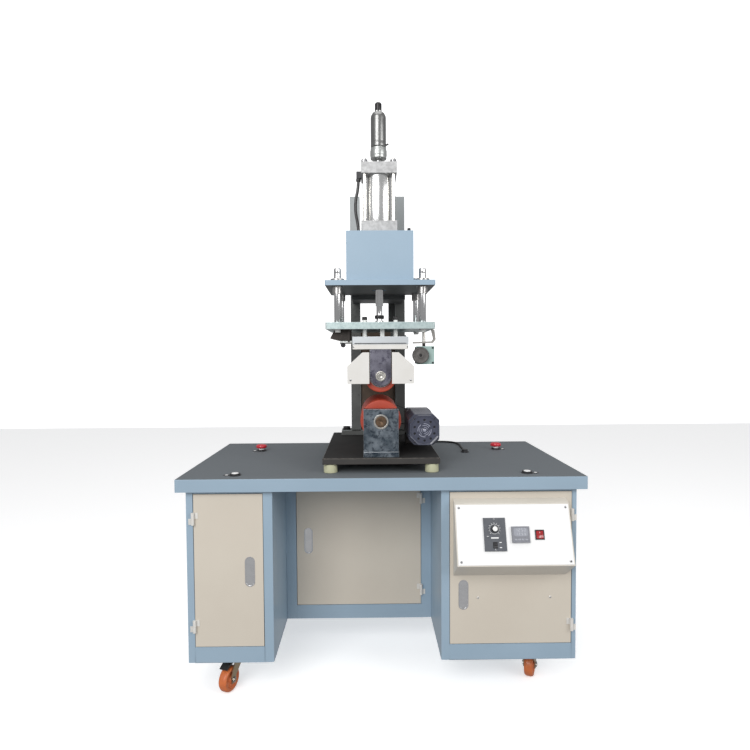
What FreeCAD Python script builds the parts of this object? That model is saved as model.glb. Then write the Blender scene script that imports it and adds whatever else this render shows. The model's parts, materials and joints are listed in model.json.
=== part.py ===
"""Hot foil stamper: a pneumatic roller press standing on a steel kneehole desk.

Millimetres. X runs to the right, Y to the back, Z up. The origin is on the floor,
under the middle of the whole machine. Heights of the press are given above the desk top.
"""
import FreeCAD
import Part
import math
import os
import re

import Sketcher

DRIVERS = {
    # desk
    "DeskWidth": 1200, "DeskDepth": 650, "DeskHeight": 662, "LipHeight": 38, "TopSheet": 2.5,
    "FloorGap": 112, "SideOverhang": 26.5, "FrontRecess": 17, "RearRecess": 17,
    "LeftCabinet": 252, "RightCabinet": 399.5, "KneeRecess": 271, "Sheet": 2, "RailDepth": 25,
    "LeftOuterStile": 20, "LeftInnerStile": 27, "RightInnerStile": 24, "RightOuterStile": 13,
    "CentreStile": 34, "TopRail": 46, "CentreTopRail": 107, "BottomRail": 47,
    "DoorGap": 1.5, "DoorDepth": 16, "DoorSheet": 1.5,
    # flush pulls and hinges
    "PullLength": 90, "PullWidth": 30, "PullDepth": 12, "PullWall": 1.2, "PullLip": 2.5, "LipThick": 1.5,
    "HingeRadius": 5, "HingePin": 2.5, "HingeHalf": 18, "HingeReach": 5.3, "LeafWidth": 14,
    "LeafThick": 1.5, "PinFit": 0.06,
    # control box on the right door
    "BoxWidth": 333, "BoxLeft": 209, "BoxTopDrop": 66, "BoxTopReach": 23, "BoxTopFall": 76,
    "BoxReach": 81, "BoxNoseFall": 239, "BoxBackFall": 296, "BoxWall": 2, "FacePlate": 2.5,
    "FaceInset": 3, "DialWidth": 63, "DialHeight": 92, "MeterWidth": 51, "MeterHeight": 45,
    "RockerWidth": 26.5, "RockerHeight": 27.5, "BodyDepth": 26,
    # desk-top buttons and the lead's gland
    "ButtonSide": 437, "PalmBack": 53, "StopBack": 470, "CollarRadius": 16.5, "TabReach": 25,
    "TabRadius": 9, "LegendThick": 1.6, "CollarHeight": 6, "ShankRadius": 10.8, "ShankFit": 0.1,
    "GlandSide": 311, "GlandBack": 410, "GlandRadius": 14.5, "GlandHeight": 11, "LeadRadius": 3.5,
    # casters
    "WheelRadius": 37.5, "WheelWidth": 27, "AxleRadius": 5, "Trail": 34, "CasterSide": 455,
    "CasterFront": 95, "CasterRear": 560, "ForkWidth": 38, "ForkGap": 31, "PedalPin": 2,
    "LeftYaw": 158, "RightYaw": -24,
    # base, column and head of the press
    "BaseWidth": 355, "BaseFront": 64, "BaseDepth": 558, "BaseThick": 19, "BaseTop": 46,
    "FootRadius": 21, "FootInset": 23, "ColumnFront": 550, "UprightWidth": 37, "UprightGap": 134,
    "UprightDepth": 50, "ColumnTop": 958, "FlangeWidth": 284, "FlangeThick": 18,
    "FlangeDepth": 68, "PanelTop": 466, "PlateWidth": 335, "PlateFront": 90, "PlateDepth": 300,
    "PlateUnder": 567, "PlateThick": 16, "ArmWidth": 190, "ArmUnder": 552, "ArmTop": 733,
    "ArmFront": 182, "CoverWidth": 207, "CoverFront": 120, "CoverTop": 737, "CoverRear": 376,
    "CoverSheet": 2, "Centre": 240,
    # cylinder
    "CapSide": 114, "CapHeight": 35, "FrontCap": 747, "RearCap": 931.5, "BarrelRadius": 52,
    "BoreRadius": 50, "TieOffset": 46, "TieRadius": 6, "RodRadius": 12.5, "RodFit": 0.06,
    "CollarGap": 25, "StopCollar": 27, "StopCollarHeight": 36, "SleeveRadius": 25,
    "SleeveStart": 1028.5, "SleeveHeight": 100, "SleeveCone": 11, "RodTop": 1172,
    # moving platen
    "PlatenWidth": 334, "PlatenUnder": 435, "PlatenThick": 21, "PostSide": 131, "PostFront": 125,
    "PostRear": 358, "PostRadius": 11, "PostTop": 622, "BushRadius": 15, "BushFlange": 21,
    "MountWidth": 170, "MountFront": 92, "MountDepth": 296, "MountUnder": 373.5, "MountThick": 14.5,
    "HeaterThick": 24, "SpacerRadius": 6.5, "SpacerSide": 48,
    "ForkPlateWidth": 65, "ForkPlateThick": 12, "ForkFront": 96, "ForkBottom": 293,
    "GuardSide": 102, "GuardInner": 34.5, "GuardTop": 364, "GuardUnder": 268, "GuardSheet": 2,
    # rollers and drive
    "PrintAxis": 291, "PrintRadius": 50, "PrintShaft": 10, "DriveAxis": 154, "DriveRadius": 63,
    "DriveShaft": 17, "RollerFront": 112, "RollerLength": 256, "BlockWidth": 106, "BlockFront": 75,
    "BlockThick": 34, "BlockTop": 192, "BushWall": 5, "BlockFoot": 16,
    "MotorSide": 135, "MotorAxis": 122, "MotorSize": 96, "MotorFront": 112, "MotorLength": 218,
    "GearLength": 62, "PulleyBack": 408, "PulleyWidth": 20, "BigPulley": 38, "SmallPulley": 20,
    "BeltWidth": 15, "BeltThick": 3, "BeltGap": 0.3,
    # foil gear
    "RewindSide": 142, "RewindAxis": 354, "RewindSize": 57, "RewindFront": 150, "WheelOffset": 16,
    "RewindWheel": 27, "RewindThick": 14,
    # air hose
    "HoseRadius": 5,
}
WORD = re.compile(r"\b[A-Z][A-Za-z]+\b")

doc = FreeCAD.newDocument("HotFoilStamper")
sizes = doc.addObject("Spreadsheet::Sheet", "Sizes")
for row, (alias, value) in enumerate(DRIVERS.items(), start=1):
    sizes.set(f"A{row}", alias)
    sizes.set(f"B{row}", str(value))
    sizes.setAlias(f"B{row}", alias)
doc.recompute()
nodes = {}


def bind(target, prop, formula):
    """Bind one property to a formula written in the sheet's aliases."""
    target.setExpression(prop, WORD.sub(lambda word: "Sizes." + word.group(0), formula))


def place(target, x="0", y="0", z="0", turn=None, angle=0.0):
    """Put an object at formulas x, y, z, turned about an axis first."""
    if turn is not None:
        target.Placement = FreeCAD.Placement(FreeCAD.Vector(), FreeCAD.Rotation(turn, angle))
    for name, formula in zip("xyz", (x, y, z)):
        bind(target, "Placement.Base." + name, formula)
    return target


def at(y):
    """A place given from the desk's front edge, in the part's own frame."""
    return f"({y}) - (DeskDepth + BoxReach - FrontRecess) / 2 + BoxReach - FrontRecess"


def up(z):
    """A height given above the desk top, in the part's own frame."""
    return f"DeskHeight + ({z})"


def box(x, y, z, width, depth, height, name="Block"):
    """A block from its low corner."""
    solid = doc.addObject("Part::Box", name)
    for prop, formula in zip(("Length", "Width", "Height"), (width, depth, height)):
        bind(solid, prop, formula)
    return place(solid, x, y, z)


def rod(x, y, z, radius, length, along="Z", name="Rod"):
    """A round bar from the centre of its low end, along one axis."""
    solid = doc.addObject("Part::Cylinder", name)
    bind(solid, "Radius", radius)
    bind(solid, "Height", length)
    if along == "Y":
        return place(solid, x, y, z, FreeCAD.Vector(1, 0, 0), -90)
    if along == "X":
        return place(solid, x, y, z, FreeCAD.Vector(0, 1, 0), 90)
    return place(solid, x, y, z)


def cut(base, *tools):
    """One solid less others."""
    for tool in tools:
        less = doc.addObject("Part::Cut", "Less")
        less.Base = base
        less.Tool = tool
        base = less
    return base


def join(*solids):
    """Solids fused into one."""
    fused = doc.addObject("Part::MultiFuse", "Joined")
    fused.Shapes = list(solids)
    return fused


def group(*solids):
    """Separate solids kept in one node."""
    kept = doc.addObject("Part::Compound", "Group")
    kept.Links = list(solids)
    return kept


def node(name, solid):
    """Name a finished sub-part."""
    solid.Label = name
    nodes[name] = solid
    return solid


def body(name):
    """An empty PartDesign body."""
    return doc.addObject("PartDesign::Body", "Body_" + name)


def sketch_on(owner, role):
    """A sketch on one of the body's own origin planes."""
    plane = next(f for f in owner.Origin.OriginFeatures if f.Role == role)
    sketch = owner.newObject("Sketcher::SketchObject", "Sketch")
    sketch.AttachmentSupport = [(plane, "")]
    sketch.MapMode = "FlatFace"
    return sketch


def fix_point(sketch, line, formulas):
    """Hold a line's start at two formulas, measured from the sketch's origin."""
    for kind, formula in zip(("DistanceX", "DistanceY"), formulas):
        index = sketch.addConstraint(Sketcher.Constraint(kind, -1, 1, line, 1, 1.0))
        name = f"{kind}{line}"
        sketch.renameConstraint(index, name)
        bind(sketch, "Constraints." + name, formula)


def number(formula):
    """The value of a formula, for a sketch's first shape."""
    return float(arithmetic(WORD.sub(lambda word: str(DRIVERS[word.group(0)]), formula)))


def arithmetic(text):
    """Work out plain arithmetic through a quantity, with no code run."""
    return FreeCAD.Units.Quantity(f"({text})").Value


def outline(owner, role, points):
    """A closed outline of straight lines through points given as formulas."""
    sketch = sketch_on(owner, role)
    flat = [FreeCAD.Vector(number(a), number(b), 0) for a, b in points]
    count = len(flat)
    for index in range(count):
        sketch.addGeometry(Part.LineSegment(flat[index], flat[(index + 1) % count]))
    for index in range(count):
        sketch.addConstraint(Sketcher.Constraint("Coincident", index, 2, (index + 1) % count, 1))
    for index, formulas in enumerate(points):
        fix_point(sketch, index, formulas)
    return sketch


def circles(owner, role, rows):
    """Circles given as (x, y, radius) formulas."""
    sketch = sketch_on(owner, role)
    normal = FreeCAD.Vector(0, 0, 1)
    for index, (x, y, radius) in enumerate(rows):
        centre = FreeCAD.Vector(number(x), number(y), 0)
        sketch.addGeometry(Part.Circle(centre, normal, number(radius)))
        for kind, formula in (("DistanceX", x), ("DistanceY", y)):
            mark = sketch.addConstraint(Sketcher.Constraint(kind, -1, 1, index, 3, 1.0))
            sketch.renameConstraint(mark, f"{kind}{index}")
            bind(sketch, f"Constraints.{kind}{index}", formula)
        mark = sketch.addConstraint(Sketcher.Constraint("Radius", index, 1.0))
        sketch.renameConstraint(mark, f"Radius{index}")
        bind(sketch, f"Constraints.Radius{index}", radius)
    return sketch


def pad(owner, sketch, length, back=False, middle=False):
    """Raise a sketch by a length."""
    feature = owner.newObject("PartDesign::Pad", "Pad")
    feature.Profile = sketch
    feature.Reversed = back
    feature.Midplane = middle
    bind(feature, "Length", length)
    return feature


def pocket(owner, sketch, length=None, back=False, middle=False):
    """Sink a sketch by a length, or right through."""
    feature = owner.newObject("PartDesign::Pocket", "Pocket")
    feature.Profile = sketch
    feature.Reversed = back
    feature.Midplane = middle
    if length is None:
        feature.Type = "ThroughAll"
    else:
        bind(feature, "Length", length)
    return feature


def turned(owner, sketch, axis="V_Axis"):
    """Turn a half outline about one of its sketch's axes."""
    feature = owner.newObject("PartDesign::Revolution", "Revolution")
    feature.Profile = sketch
    feature.ReferenceAxis = (sketch, [axis])
    feature.Angle = 360.0
    return feature


def edge_names(shape, test):
    """Names of the edges that pass a test."""
    return [f"Edge{i}" for i, edge in enumerate(shape.Edges, start=1) if test(edge)]


def runs_along(edge, axis):
    """True where a straight edge is parallel to X, Y or Z (0, 1 or 2)."""
    if edge.Curve.TypeId != "Part::GeomLine":
        return False
    return abs(edge.Curve.Direction[axis]) > 0.99


def dress(owner, kind, test, size):
    """Fillet or chamfer the edges of a body that pass a test."""
    doc.recompute()
    base = owner.Tip
    feature = owner.newObject("PartDesign::" + kind, kind)
    feature.Base = (base, edge_names(base.Shape, test))
    bind(feature, "Radius" if kind == "Fillet" else "Size", size)
    return feature


def block_body(name, width, depth, height):
    """A body holding one block, centred on X, from Y 0 and Z 0."""
    owner = body(name)
    half = f"({width}) / 2"
    corners = [(f"-{half}", "0"), (half, "0"), (half, depth), (f"-{half}", depth)]
    pad(owner, outline(owner, "XY_Plane", corners), height)
    return owner


# --- desk ---------------------------------------------------------------------------------------

def build_desk_top():
    """Folded steel top: a tray upside down, with holes for the buttons and the lead."""
    owner = block_body("desk_top", "DeskWidth", "DeskDepth", "LipHeight")
    dress(owner, "Fillet", lambda e: runs_along(e, 2) or e.CenterOfMass.z > DRIVERS["LipHeight"] - 1, "2")
    half = "(DeskWidth / 2 - TopSheet)"
    inner = [(f"-{half}", "TopSheet"), (half, "TopSheet"), (half, "DeskDepth - TopSheet"),
             (f"-{half}", "DeskDepth - TopSheet")]
    pocket(owner, outline(owner, "XY_Plane", inner), "LipHeight - TopSheet", back=True)
    holes = [(f"{side} * ButtonSide", back, "ShankRadius + 0.5") for side in (-1, 1)
             for back in ("PalmBack", "StopBack")]
    holes.append(("GlandSide", "GlandBack", "LeadRadius + 1"))
    pocket(owner, circles(owner, "XY_Plane", holes), middle=True)
    node("desk_top", place(owner, "0", at("0"), "DeskHeight - LipHeight"))


CARCASS_HEIGHT = "DeskHeight - TopSheet - FloorGap"
LEFT_OUT = "-DeskWidth / 2 + SideOverhang"
LEFT_IN = f"{LEFT_OUT} + LeftCabinet"
RIGHT_OUT = "DeskWidth / 2 - SideOverhang"
RIGHT_IN = f"{RIGHT_OUT} - RightCabinet"
FRONT = "FrontRecess"
KNEE = "FrontRecess + KneeRecess"
BACK = "DeskDepth - RearRecess"


def front_frame(low, high, left, right, top, face):
    """Four rails round a door: two stiles, a top rail and a bottom rail."""
    tall = CARCASS_HEIGHT
    y = at(face)
    inside = f"({high}) - ({low}) - ({left}) - ({right})"
    return [
        box(low, y, "FloorGap", left, "RailDepth", tall, "Stile"),
        box(f"{high} - ({right})", y, "FloorGap", right, "RailDepth", tall, "Stile"),
        box(f"{low} + {left}", y, "FloorGap", inside, "RailDepth", "BottomRail", "Rail"),
        box(f"{low} + {left}", y, f"DeskHeight - ({top})", inside, "RailDepth",
            f"({top}) - TopSheet", "Rail"),
    ]


def cabinet(low, high, face):
    """Side sheets, back sheet and floor of one cabinet behind its front frame."""
    start = at(f"{face} + RailDepth")
    depth = f"{BACK} - ({face}) - RailDepth"
    wide = f"({high}) - ({low})"
    return [
        box(low, start, "FloorGap", "Sheet", depth, CARCASS_HEIGHT, "Side"),
        box(f"{high} - Sheet", start, "FloorGap", "Sheet", depth, CARCASS_HEIGHT, "Side"),
        box(f"{low} + Sheet", at(f"{BACK} - Sheet"), "FloorGap", f"{wide} - 2 * Sheet", "Sheet",
            CARCASS_HEIGHT, "Back"),
        box(f"{low} + Sheet", start, "FloorGap", f"{wide} - 2 * Sheet", f"{depth} - Sheet", "Sheet",
            "Floor"),
    ]


def build_carcass():
    """Welded carcass: left and right cabinets, and the one set back across the kneehole."""
    solids = front_frame(LEFT_OUT, LEFT_IN, "LeftOuterStile", "LeftInnerStile", "TopRail", FRONT)
    solids += cabinet(LEFT_OUT, LEFT_IN, FRONT)
    solids += front_frame(RIGHT_IN, RIGHT_OUT, "RightInnerStile", "RightOuterStile", "TopRail", FRONT)
    solids += cabinet(RIGHT_IN, RIGHT_OUT, FRONT)
    solids += front_frame(LEFT_IN, RIGHT_IN, "CentreStile", "CentreStile", "CentreTopRail", KNEE)
    depth = f"{BACK} - ({KNEE}) - RailDepth"
    wide = f"({RIGHT_IN}) - ({LEFT_IN})"
    solids.append(box(LEFT_IN, at(f"{BACK} - Sheet"), "FloorGap", wide, "Sheet", CARCASS_HEIGHT, "Back"))
    solids.append(box(LEFT_IN, at(f"{KNEE} + RailDepth"), "FloorGap", wide, f"{depth} - Sheet", "Sheet",
                      "Floor"))
    node("desk_carcass", group(*solids))


# Each door: low and high X of its opening, its top, its face and the hinge side (-1 left, 1 right).
DOORS = {
    "left": (f"{LEFT_OUT} + LeftOuterStile", f"{LEFT_IN} - LeftInnerStile", "TopRail", FRONT, -1),
    "centre": (f"{LEFT_IN} + CentreStile", f"{RIGHT_IN} - CentreStile", "CentreTopRail", KNEE, 1),
    "right": (f"{RIGHT_IN} + RightInnerStile", f"{RIGHT_OUT} - RightOuterStile", "TopRail", FRONT, 1),
}
# Each pull: its centre across the door from the opening's low X, and its centre's fall below the top.
PULLS = {"left": ("164.5", "278"), "centre": ("41.5", "279"), "right": ("41.5", "354")}
# Middle height of each hinge, as its fall below the desk top.
HINGES = {"left": ("119", "439"), "centre": ("134", "450"), "right": ("116", "445")}


def hinge_axis(door):
    """X and Y of a door's hinge pins."""
    low, high, _, face, side = DOORS[door]
    edge = high if side > 0 else low
    inward = "-" if side > 0 else "+"
    return f"{edge} {inward} DoorGap / 2", at(f"{face} - HingeReach")


def leaf(door, fall, on_door):
    """A flat tab that ties one hinge barrel to the door or to the frame."""
    x, y = hinge_axis(door)
    side = DOORS[door][4]
    reach_right = (side < 0) == on_door
    start = x if reach_right else f"{x} - LeafWidth"
    level = f"DeskHeight - {fall}" if on_door else f"DeskHeight - {fall} - HingeHalf"
    height = "HingeHalf - 0.3"
    flange = box(start, f"{y} + HingeReach - LeafThick", level, "LeafWidth", "LeafThick", height, "Leaf")
    web_at = f"{x} - LeafThick / 2 " + ("+" if reach_right else "-") + " 2.5"
    web = box(web_at, y, level, "LeafThick", "HingeReach - 0.1", height, "Web")
    return [flange, web]


def build_hinge_pins():
    """The lower half of each hinge: barrel, pin and tab, welded to the frame."""
    pins = []
    for door, falls in HINGES.items():
        x, y = hinge_axis(door)
        for fall in falls:
            low = f"DeskHeight - {fall} - HingeHalf"
            barrel = rod(x, y, low, "HingeRadius", "HingeHalf - 0.3", name="Barrel")
            pin = rod(x, y, low, "HingePin", "2 * HingeHalf - 2", name="Pin")
            pins.append(join(barrel, pin, *leaf(door, fall, False)))
    node("hinge_pins", group(*pins))


def oval(x, y, z, length, width, depth):
    """An upright oval bar along Y: a block with a half round at each end."""
    straight = f"({length}) - ({width})"
    middle = box(f"{x} - ({width}) / 2", y, f"{z} - ({straight}) / 2", width, depth, straight, "Middle")
    ends = [rod(x, y, f"{z} {sign} ({straight}) / 2", f"({width}) / 2", depth, "Y", "End")
            for sign in ("+", "-")]
    return join(middle, *ends)


def build_door(door):
    """A door as a shallow tray with its hinge barrels, and the oval pull let into it."""
    low, high, top, face, _ = DOORS[door]
    x = f"{low} + DoorGap"
    z = "FloorGap + BottomRail + DoorGap"
    width = f"({high}) - ({low}) - 2 * DoorGap"
    height = f"DeskHeight - ({top}) - DoorGap - ({z})"
    shell = box(x, at(face), z, width, "DoorDepth", height, "Skin")
    hollow = box(f"{x} + DoorSheet", at(f"{face} + DoorSheet"), f"{z} + DoorSheet",
                 f"{width} - 2 * DoorSheet", "DoorDepth", f"{height} - 2 * DoorSheet", "Hollow")
    across, fall = PULLS[door]
    px, pz = f"{low} + {across}", f"DeskHeight - {fall}"
    window = oval(px, at(f"{face} - 1"), pz, "PullLength - 2 * PullLip + 0.6",
                  "PullWidth - 2 * PullLip + 0.6", "10")
    barrels = []
    hx, hy = hinge_axis(door)
    for drop in HINGES[door]:
        level = f"DeskHeight - {drop}"
        outer = rod(hx, hy, level, "HingeRadius", "HingeHalf", name="Knuckle")
        bore = rod(hx, hy, f"{level} - 1", "HingePin + PinFit", "HingeHalf - 1", name="Bore")
        barrels.append(cut(join(outer, *leaf(door, drop, True)), bore))
    node(f"{door}_door", join(cut(shell, hollow, window), *barrels))
    rim = oval(px, at(f"{face} - LipThick"), pz, "PullLength", "PullWidth", "LipThick")
    cup = oval(px, at(face), pz, "PullLength - 2 * PullLip", "PullWidth - 2 * PullLip", "PullDepth")
    inside = oval(px, at(f"{face} - LipThick - 1"), pz, "PullLength - 2 * PullLip - 2 * PullWall",
                  "PullWidth - 2 * PullLip - 2 * PullWall", "PullDepth + LipThick + 1 - PullWall")
    node(f"{door}_door_pull", cut(join(rim, cup), inside))


# --- control box --------------------------------------------------------------------------------

def face_frame():
    """Corner, unit vector down the sloping face and its length, in the side view (Y, Z)."""
    rise = DRIVERS["BoxNoseFall"] - DRIVERS["BoxTopFall"]
    run = DRIVERS["BoxReach"] - DRIVERS["BoxTopReach"]
    return math.degrees(math.atan2(run, rise)), math.hypot(run, rise)


TILT, SLOPE = face_frame()


def on_face(solid, across, down, proud="0", lying=0.0):
    """Stand a solid, drawn facing -Y from its low corner, on the sloping face."""
    sine, cosine = math.sin(math.radians(TILT)), math.cos(math.radians(TILT))
    y = f"{at('FrontRecess - BoxTopReach')} - ({down}) * {sine:.6f} - ({proud}) * {cosine:.6f}"
    z = f"DeskHeight - BoxTopFall - ({down}) * {cosine:.6f} + ({proud}) * {sine:.6f}"
    return place(solid, f"BoxLeft + ({across})", y, z, FreeCAD.Vector(1, 0, 0), lying - TILT)


def build_control_box():
    """Wedge-shaped steel box on the right door, its sloping face closed by a plate."""
    owner = body("control_box")
    side = [("0", "-BoxTopDrop"), ("-BoxTopReach", "-BoxTopFall"), ("-BoxReach", "-BoxNoseFall"),
            ("0", "-BoxBackFall")]
    pad(owner, outline(owner, "YZ_Plane", side), "BoxWidth")
    hollow = body("control_box_hollow")
    inner = [("-BoxWall", "-BoxTopDrop - BoxWall - 1"), ("-BoxTopReach + 1", "-BoxTopFall - 1"),
             ("-BoxReach + 2.5", "-BoxNoseFall + 1"), ("-BoxWall", "-BoxBackFall + 4")]
    pad(hollow, outline(hollow, "YZ_Plane", inner), "BoxWidth - 2 * BoxWall")
    place(owner, "BoxLeft", at("FrontRecess"), "DeskHeight")
    place(hollow, "BoxLeft + BoxWall", at("FrontRecess"), "DeskHeight")
    slot = box("0", "0", "0", "BoxWidth - 2 * FaceInset + 0.4", "30", f"{SLOPE:.3f} - 2 * FaceInset + 0.4",
               "FaceOpening")
    on_face(slot, "FaceInset - 0.2", f"{SLOPE:.3f} - FaceInset + 0.2", "5")
    node("control_box", cut(owner, hollow, slot))


DIAL_AT = ("79.5", "40.5")
METER_AT = ("158.5", "65")
ROCKER_AT = ("226", "74.5")


def opening_in_face(spot, width, height):
    """A cutter for one instrument's cut-out in the face plate."""
    cutter = box("0", "0", "0", f"{width} - 3.6", "20", f"{height} - 3.6", "CutOut")
    return on_face(cutter, f"{spot[0]} + 1.8", f"{spot[1]} + ({height}) - 1.8", "10")


def build_face():
    """White face plate with a cut-out behind each instrument."""
    plate = box("0", "0", "0", "BoxWidth - 2 * FaceInset", "FacePlate", f"{SLOPE:.3f} - 2 * FaceInset",
                "Plate")
    on_face(plate, "FaceInset", f"{SLOPE:.3f} - FaceInset", "0.8")
    cutters = [opening_in_face(DIAL_AT, "DialWidth", "DialHeight"),
               opening_in_face(METER_AT, "MeterWidth", "MeterHeight"),
               opening_in_face(ROCKER_AT, "RockerWidth", "RockerHeight")]
    node("control_face", cut(plate, *cutters))


def instrument(spot, width, height, bezel, depth):
    """Bezel standing on the plate and the body behind it."""
    front = box("0", "0", "0", width, bezel, height, "Bezel")
    on_face(front, spot[0], f"{spot[1]} + ({height})", f"0.8 + {bezel}")
    behind = box("0", "0", "0", f"{width} - 4", depth, f"{height} - 4", "Case")
    on_face(behind, f"{spot[0]} + 2", f"{spot[1]} + ({height}) - 2", "0.8")
    return join(front, behind)


def build_instruments():
    """Speed controller with knob and switch, temperature controller, and power switch."""
    bezel = "4"
    case = instrument(DIAL_AT, "DialWidth", "DialHeight", bezel, "BodyDepth")
    spindle = rod("0", "0", "0", "3.6", "12", name="SpindleHole")
    on_face(spindle, f"{DIAL_AT[0]} + DialWidth / 2 - 1", f"{DIAL_AT[1]} + 31", "6", -90)
    well = box("0", "0", "0", "13", "6", "17", "SwitchWell")
    on_face(well, f"{DIAL_AT[0]} + DialWidth / 2 - 7.5", f"{DIAL_AT[1]} + 84", "6")
    node("speed_controller", cut(case, spindle, well))
    skirt = rod("0", "0", "0", "10", "13", name="KnobSkirt")
    on_face(skirt, f"{DIAL_AT[0]} + DialWidth / 2 - 1", f"{DIAL_AT[1]} + 31", "18.3", -90)
    stem = rod("0", "0", "0", "3.5", "10", name="KnobStem")
    on_face(stem, f"{DIAL_AT[0]} + DialWidth / 2 - 1", f"{DIAL_AT[1]} + 31", "5.3", -90)
    rib = box("0", "0", "0", "2", "12.5", "3", "KnobRib")
    on_face(rib, f"{DIAL_AT[0]} + DialWidth / 2 - 2", f"{DIAL_AT[1]} + 22.5", "18.3")
    node("speed_knob", join(skirt, stem, rib))
    node("speed_switch", paddle("speed_switch", f"{DIAL_AT[0]} + DialWidth / 2 - 1",
                                f"{DIAL_AT[1]} + 75.5", 12.4, 16.4, 4.8))
    node("temperature_controller", instrument(METER_AT, "MeterWidth", "MeterHeight", "7", "BodyDepth + 6"))
    frame = instrument(ROCKER_AT, "RockerWidth", "RockerHeight", "2.5", "BodyDepth")
    hollow = box("0", "0", "0", "RockerWidth - 6", "10", "RockerHeight - 5", "RockerWell")
    on_face(hollow, f"{ROCKER_AT[0]} + 3", f"{ROCKER_AT[1]} + RockerHeight - 2.5", "5")
    node("power_switch", cut(frame, hollow))
    node("power_rocker", paddle("power_rocker", f"{ROCKER_AT[0]} + RockerWidth / 2",
                                f"{ROCKER_AT[1]} + RockerHeight / 2",
                                DRIVERS["RockerWidth"] - 6.8, DRIVERS["RockerHeight"] - 6.2, 3.3))


def paddle(name, across, down, width, height, proud):
    """A rocker pivoted on its middle: a shallow V in front, rounded behind."""
    owner = body(name)
    half = height / 2
    side = [("2.2", f"{-half + 1.5:.2f}"), ("2.2", f"{half - 1.5:.2f}"), ("-1.0", f"{half:.2f}"),
            ("0.3", "0"), ("-1.0", f"{-half:.2f}")]
    pad(owner, outline(owner, "YZ_Plane", side), f"{width}", middle=True)
    pad(owner, circles(owner, "YZ_Plane", [("0", "0", "1.2")]), f"{width}", middle=True)
    return on_face(owner, across, down, f"{proud}")


# --- desk-top buttons and lead ------------------------------------------------------------------

def legend_collar(side, back, height):
    """Collar of a push button on its round legend plate, with the plate's small round tab."""
    x, y, z = f"{side} * ButtonSide", at(back), "DeskHeight"
    disc = rod(x, y, z, "CollarRadius + 1.5", "LegendThick", name="Legend")
    tab = rod(f"{x} + {side} * TabReach", f"{y} - 1", z, "TabRadius", "LegendThick", name="Tab")
    ring = rod(x, y, z, "CollarRadius - 1.5", height, name="Collar")
    dip = rod(f"{x} + {side} * TabReach", f"{y} - 1", f"{z} + 0.8", "TabRadius - 3.5", "5", name="Dip")
    bore = rod(x, y, f"{z} - 1", "ShankRadius + ShankFit", "40", name="Bore")
    return cut(join(disc, tab, ring), dip, bore)


def build_fittings():
    """Four button collars and the low gland that the lead comes out of."""
    solids = [legend_collar(side, back, "CollarHeight") for side in (-1, 1)
              for back in ("PalmBack", "StopBack")]
    dome = rod("GlandSide", at("GlandBack"), "DeskHeight", "GlandRadius", "4", name="GlandFlange")
    hood = rod("GlandSide", at("GlandBack"), "DeskHeight", "GlandRadius - 4", "GlandHeight", name="Hood")
    mouth = box("GlandSide - LeadRadius - 2.5", at("GlandBack"), "DeskHeight", "2 * LeadRadius + 5",
                "GlandRadius", "2 * LeadRadius + 3", "Mouth")
    solids.append(join(dome, hood, mouth))
    node("desk_fittings", group(*solids))


def build_buttons():
    """Two low palm buttons in front and two mushroom stop buttons behind."""
    for name, side in (("left", -1), ("right", 1)):
        palm = body(name + "_palm_button")
        rim = [("0", "-24"), ("ShankRadius", "-24"), ("ShankRadius", "6.6"), ("9.6", "8"), ("0", "8.6")]
        turned(palm, outline(palm, "XZ_Plane", rim))
        node(f"{name}_palm_button", place(palm, f"{side} * ButtonSide", at("PalmBack"), "DeskHeight"))
        stop = body(name + "_stop_button")
        rim = [("0", "-26"), ("ShankRadius", "-26"), ("ShankRadius", "11"), ("17", "12.5"),
               ("20", "16"), ("20", "20"), ("17.5", "23"), ("10", "25.3"), ("0", "26")]
        turned(stop, outline(stop, "XZ_Plane", rim))
        node(f"{name}_stop_button", place(stop, f"{side} * ButtonSide", at("StopBack"), "DeskHeight"))


def tube(route, radius, label):
    """A cord's solid along straight runs joined by tangent arcs, with its radii printed."""
    points = [FreeCAD.Vector(*p) for p in route]
    edges = []
    last = points[0]
    radii = []
    for before, corner, after in zip(points, points[1:], points[2:]):
        towards = (corner - before)
        away = (after - corner)
        shorter = min(towards.Length, away.Length)
        turn = towards.getAngle(away)
        bend = 0.45 * shorter / math.tan(turn / 2)
        reach = 0.45 * shorter
        towards.normalize()
        away.normalize()
        start = corner - towards * reach
        finish = corner + away * reach
        middle_way = (away - towards)
        middle_way.normalize()
        centre_gap = bend / math.cos(turn / 2)
        middle = corner + middle_way * (centre_gap - bend)
        edges.append(Part.LineSegment(last, start).toShape())
        edges.append(Part.Arc(start, middle, finish).toShape())
        last = finish
        radii.append(bend)
    edges.append(Part.LineSegment(last, points[-1]).toShape())
    path = Part.Wire(edges)
    heading = points[1] - points[0]
    ring = Part.Wire(Part.Circle(points[0], heading, radius).toShape())
    solid = path.makePipeShell([ring], True, False)
    ideal = math.pi * radius ** 2 * path.Length
    print(f"{label}: length {path.Length:.1f}, radii {[round(r, 1) for r in radii]},"
          f" volume ratio {abs(solid.Volume) / ideal:.4f}")
    feature = doc.addObject("Part::Feature", "Tube")
    feature.Shape = solid if solid.Volume > 0 else solid.reversed()
    feature.Placement = FreeCAD.Placement()
    return feature


def desk_y(y):
    """Number form of at(), for routes kept as point lists."""
    reach = DRIVERS["BoxReach"] - DRIVERS["FrontRecess"]
    return y - (DRIVERS["DeskDepth"] + reach) / 2 + reach


# Lead from the gland, along the back of the desk and up into the column's conduit.
# X, distance from the desk's front edge, height above the desk top.
LEAD_ROUTE = [(311, 424.5, 3.8), (312, 490, 3.8), (316, 550, 3.8), (311, 603, 3.8), (274, 634, 3.8),
              (215, 637, 3.8), (157, 634, 3.8), (105, 637, 4.5), (70, 638, 24), (57, 634, 62),
              (55, 617, 98), (55, 607, 136)]
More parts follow.
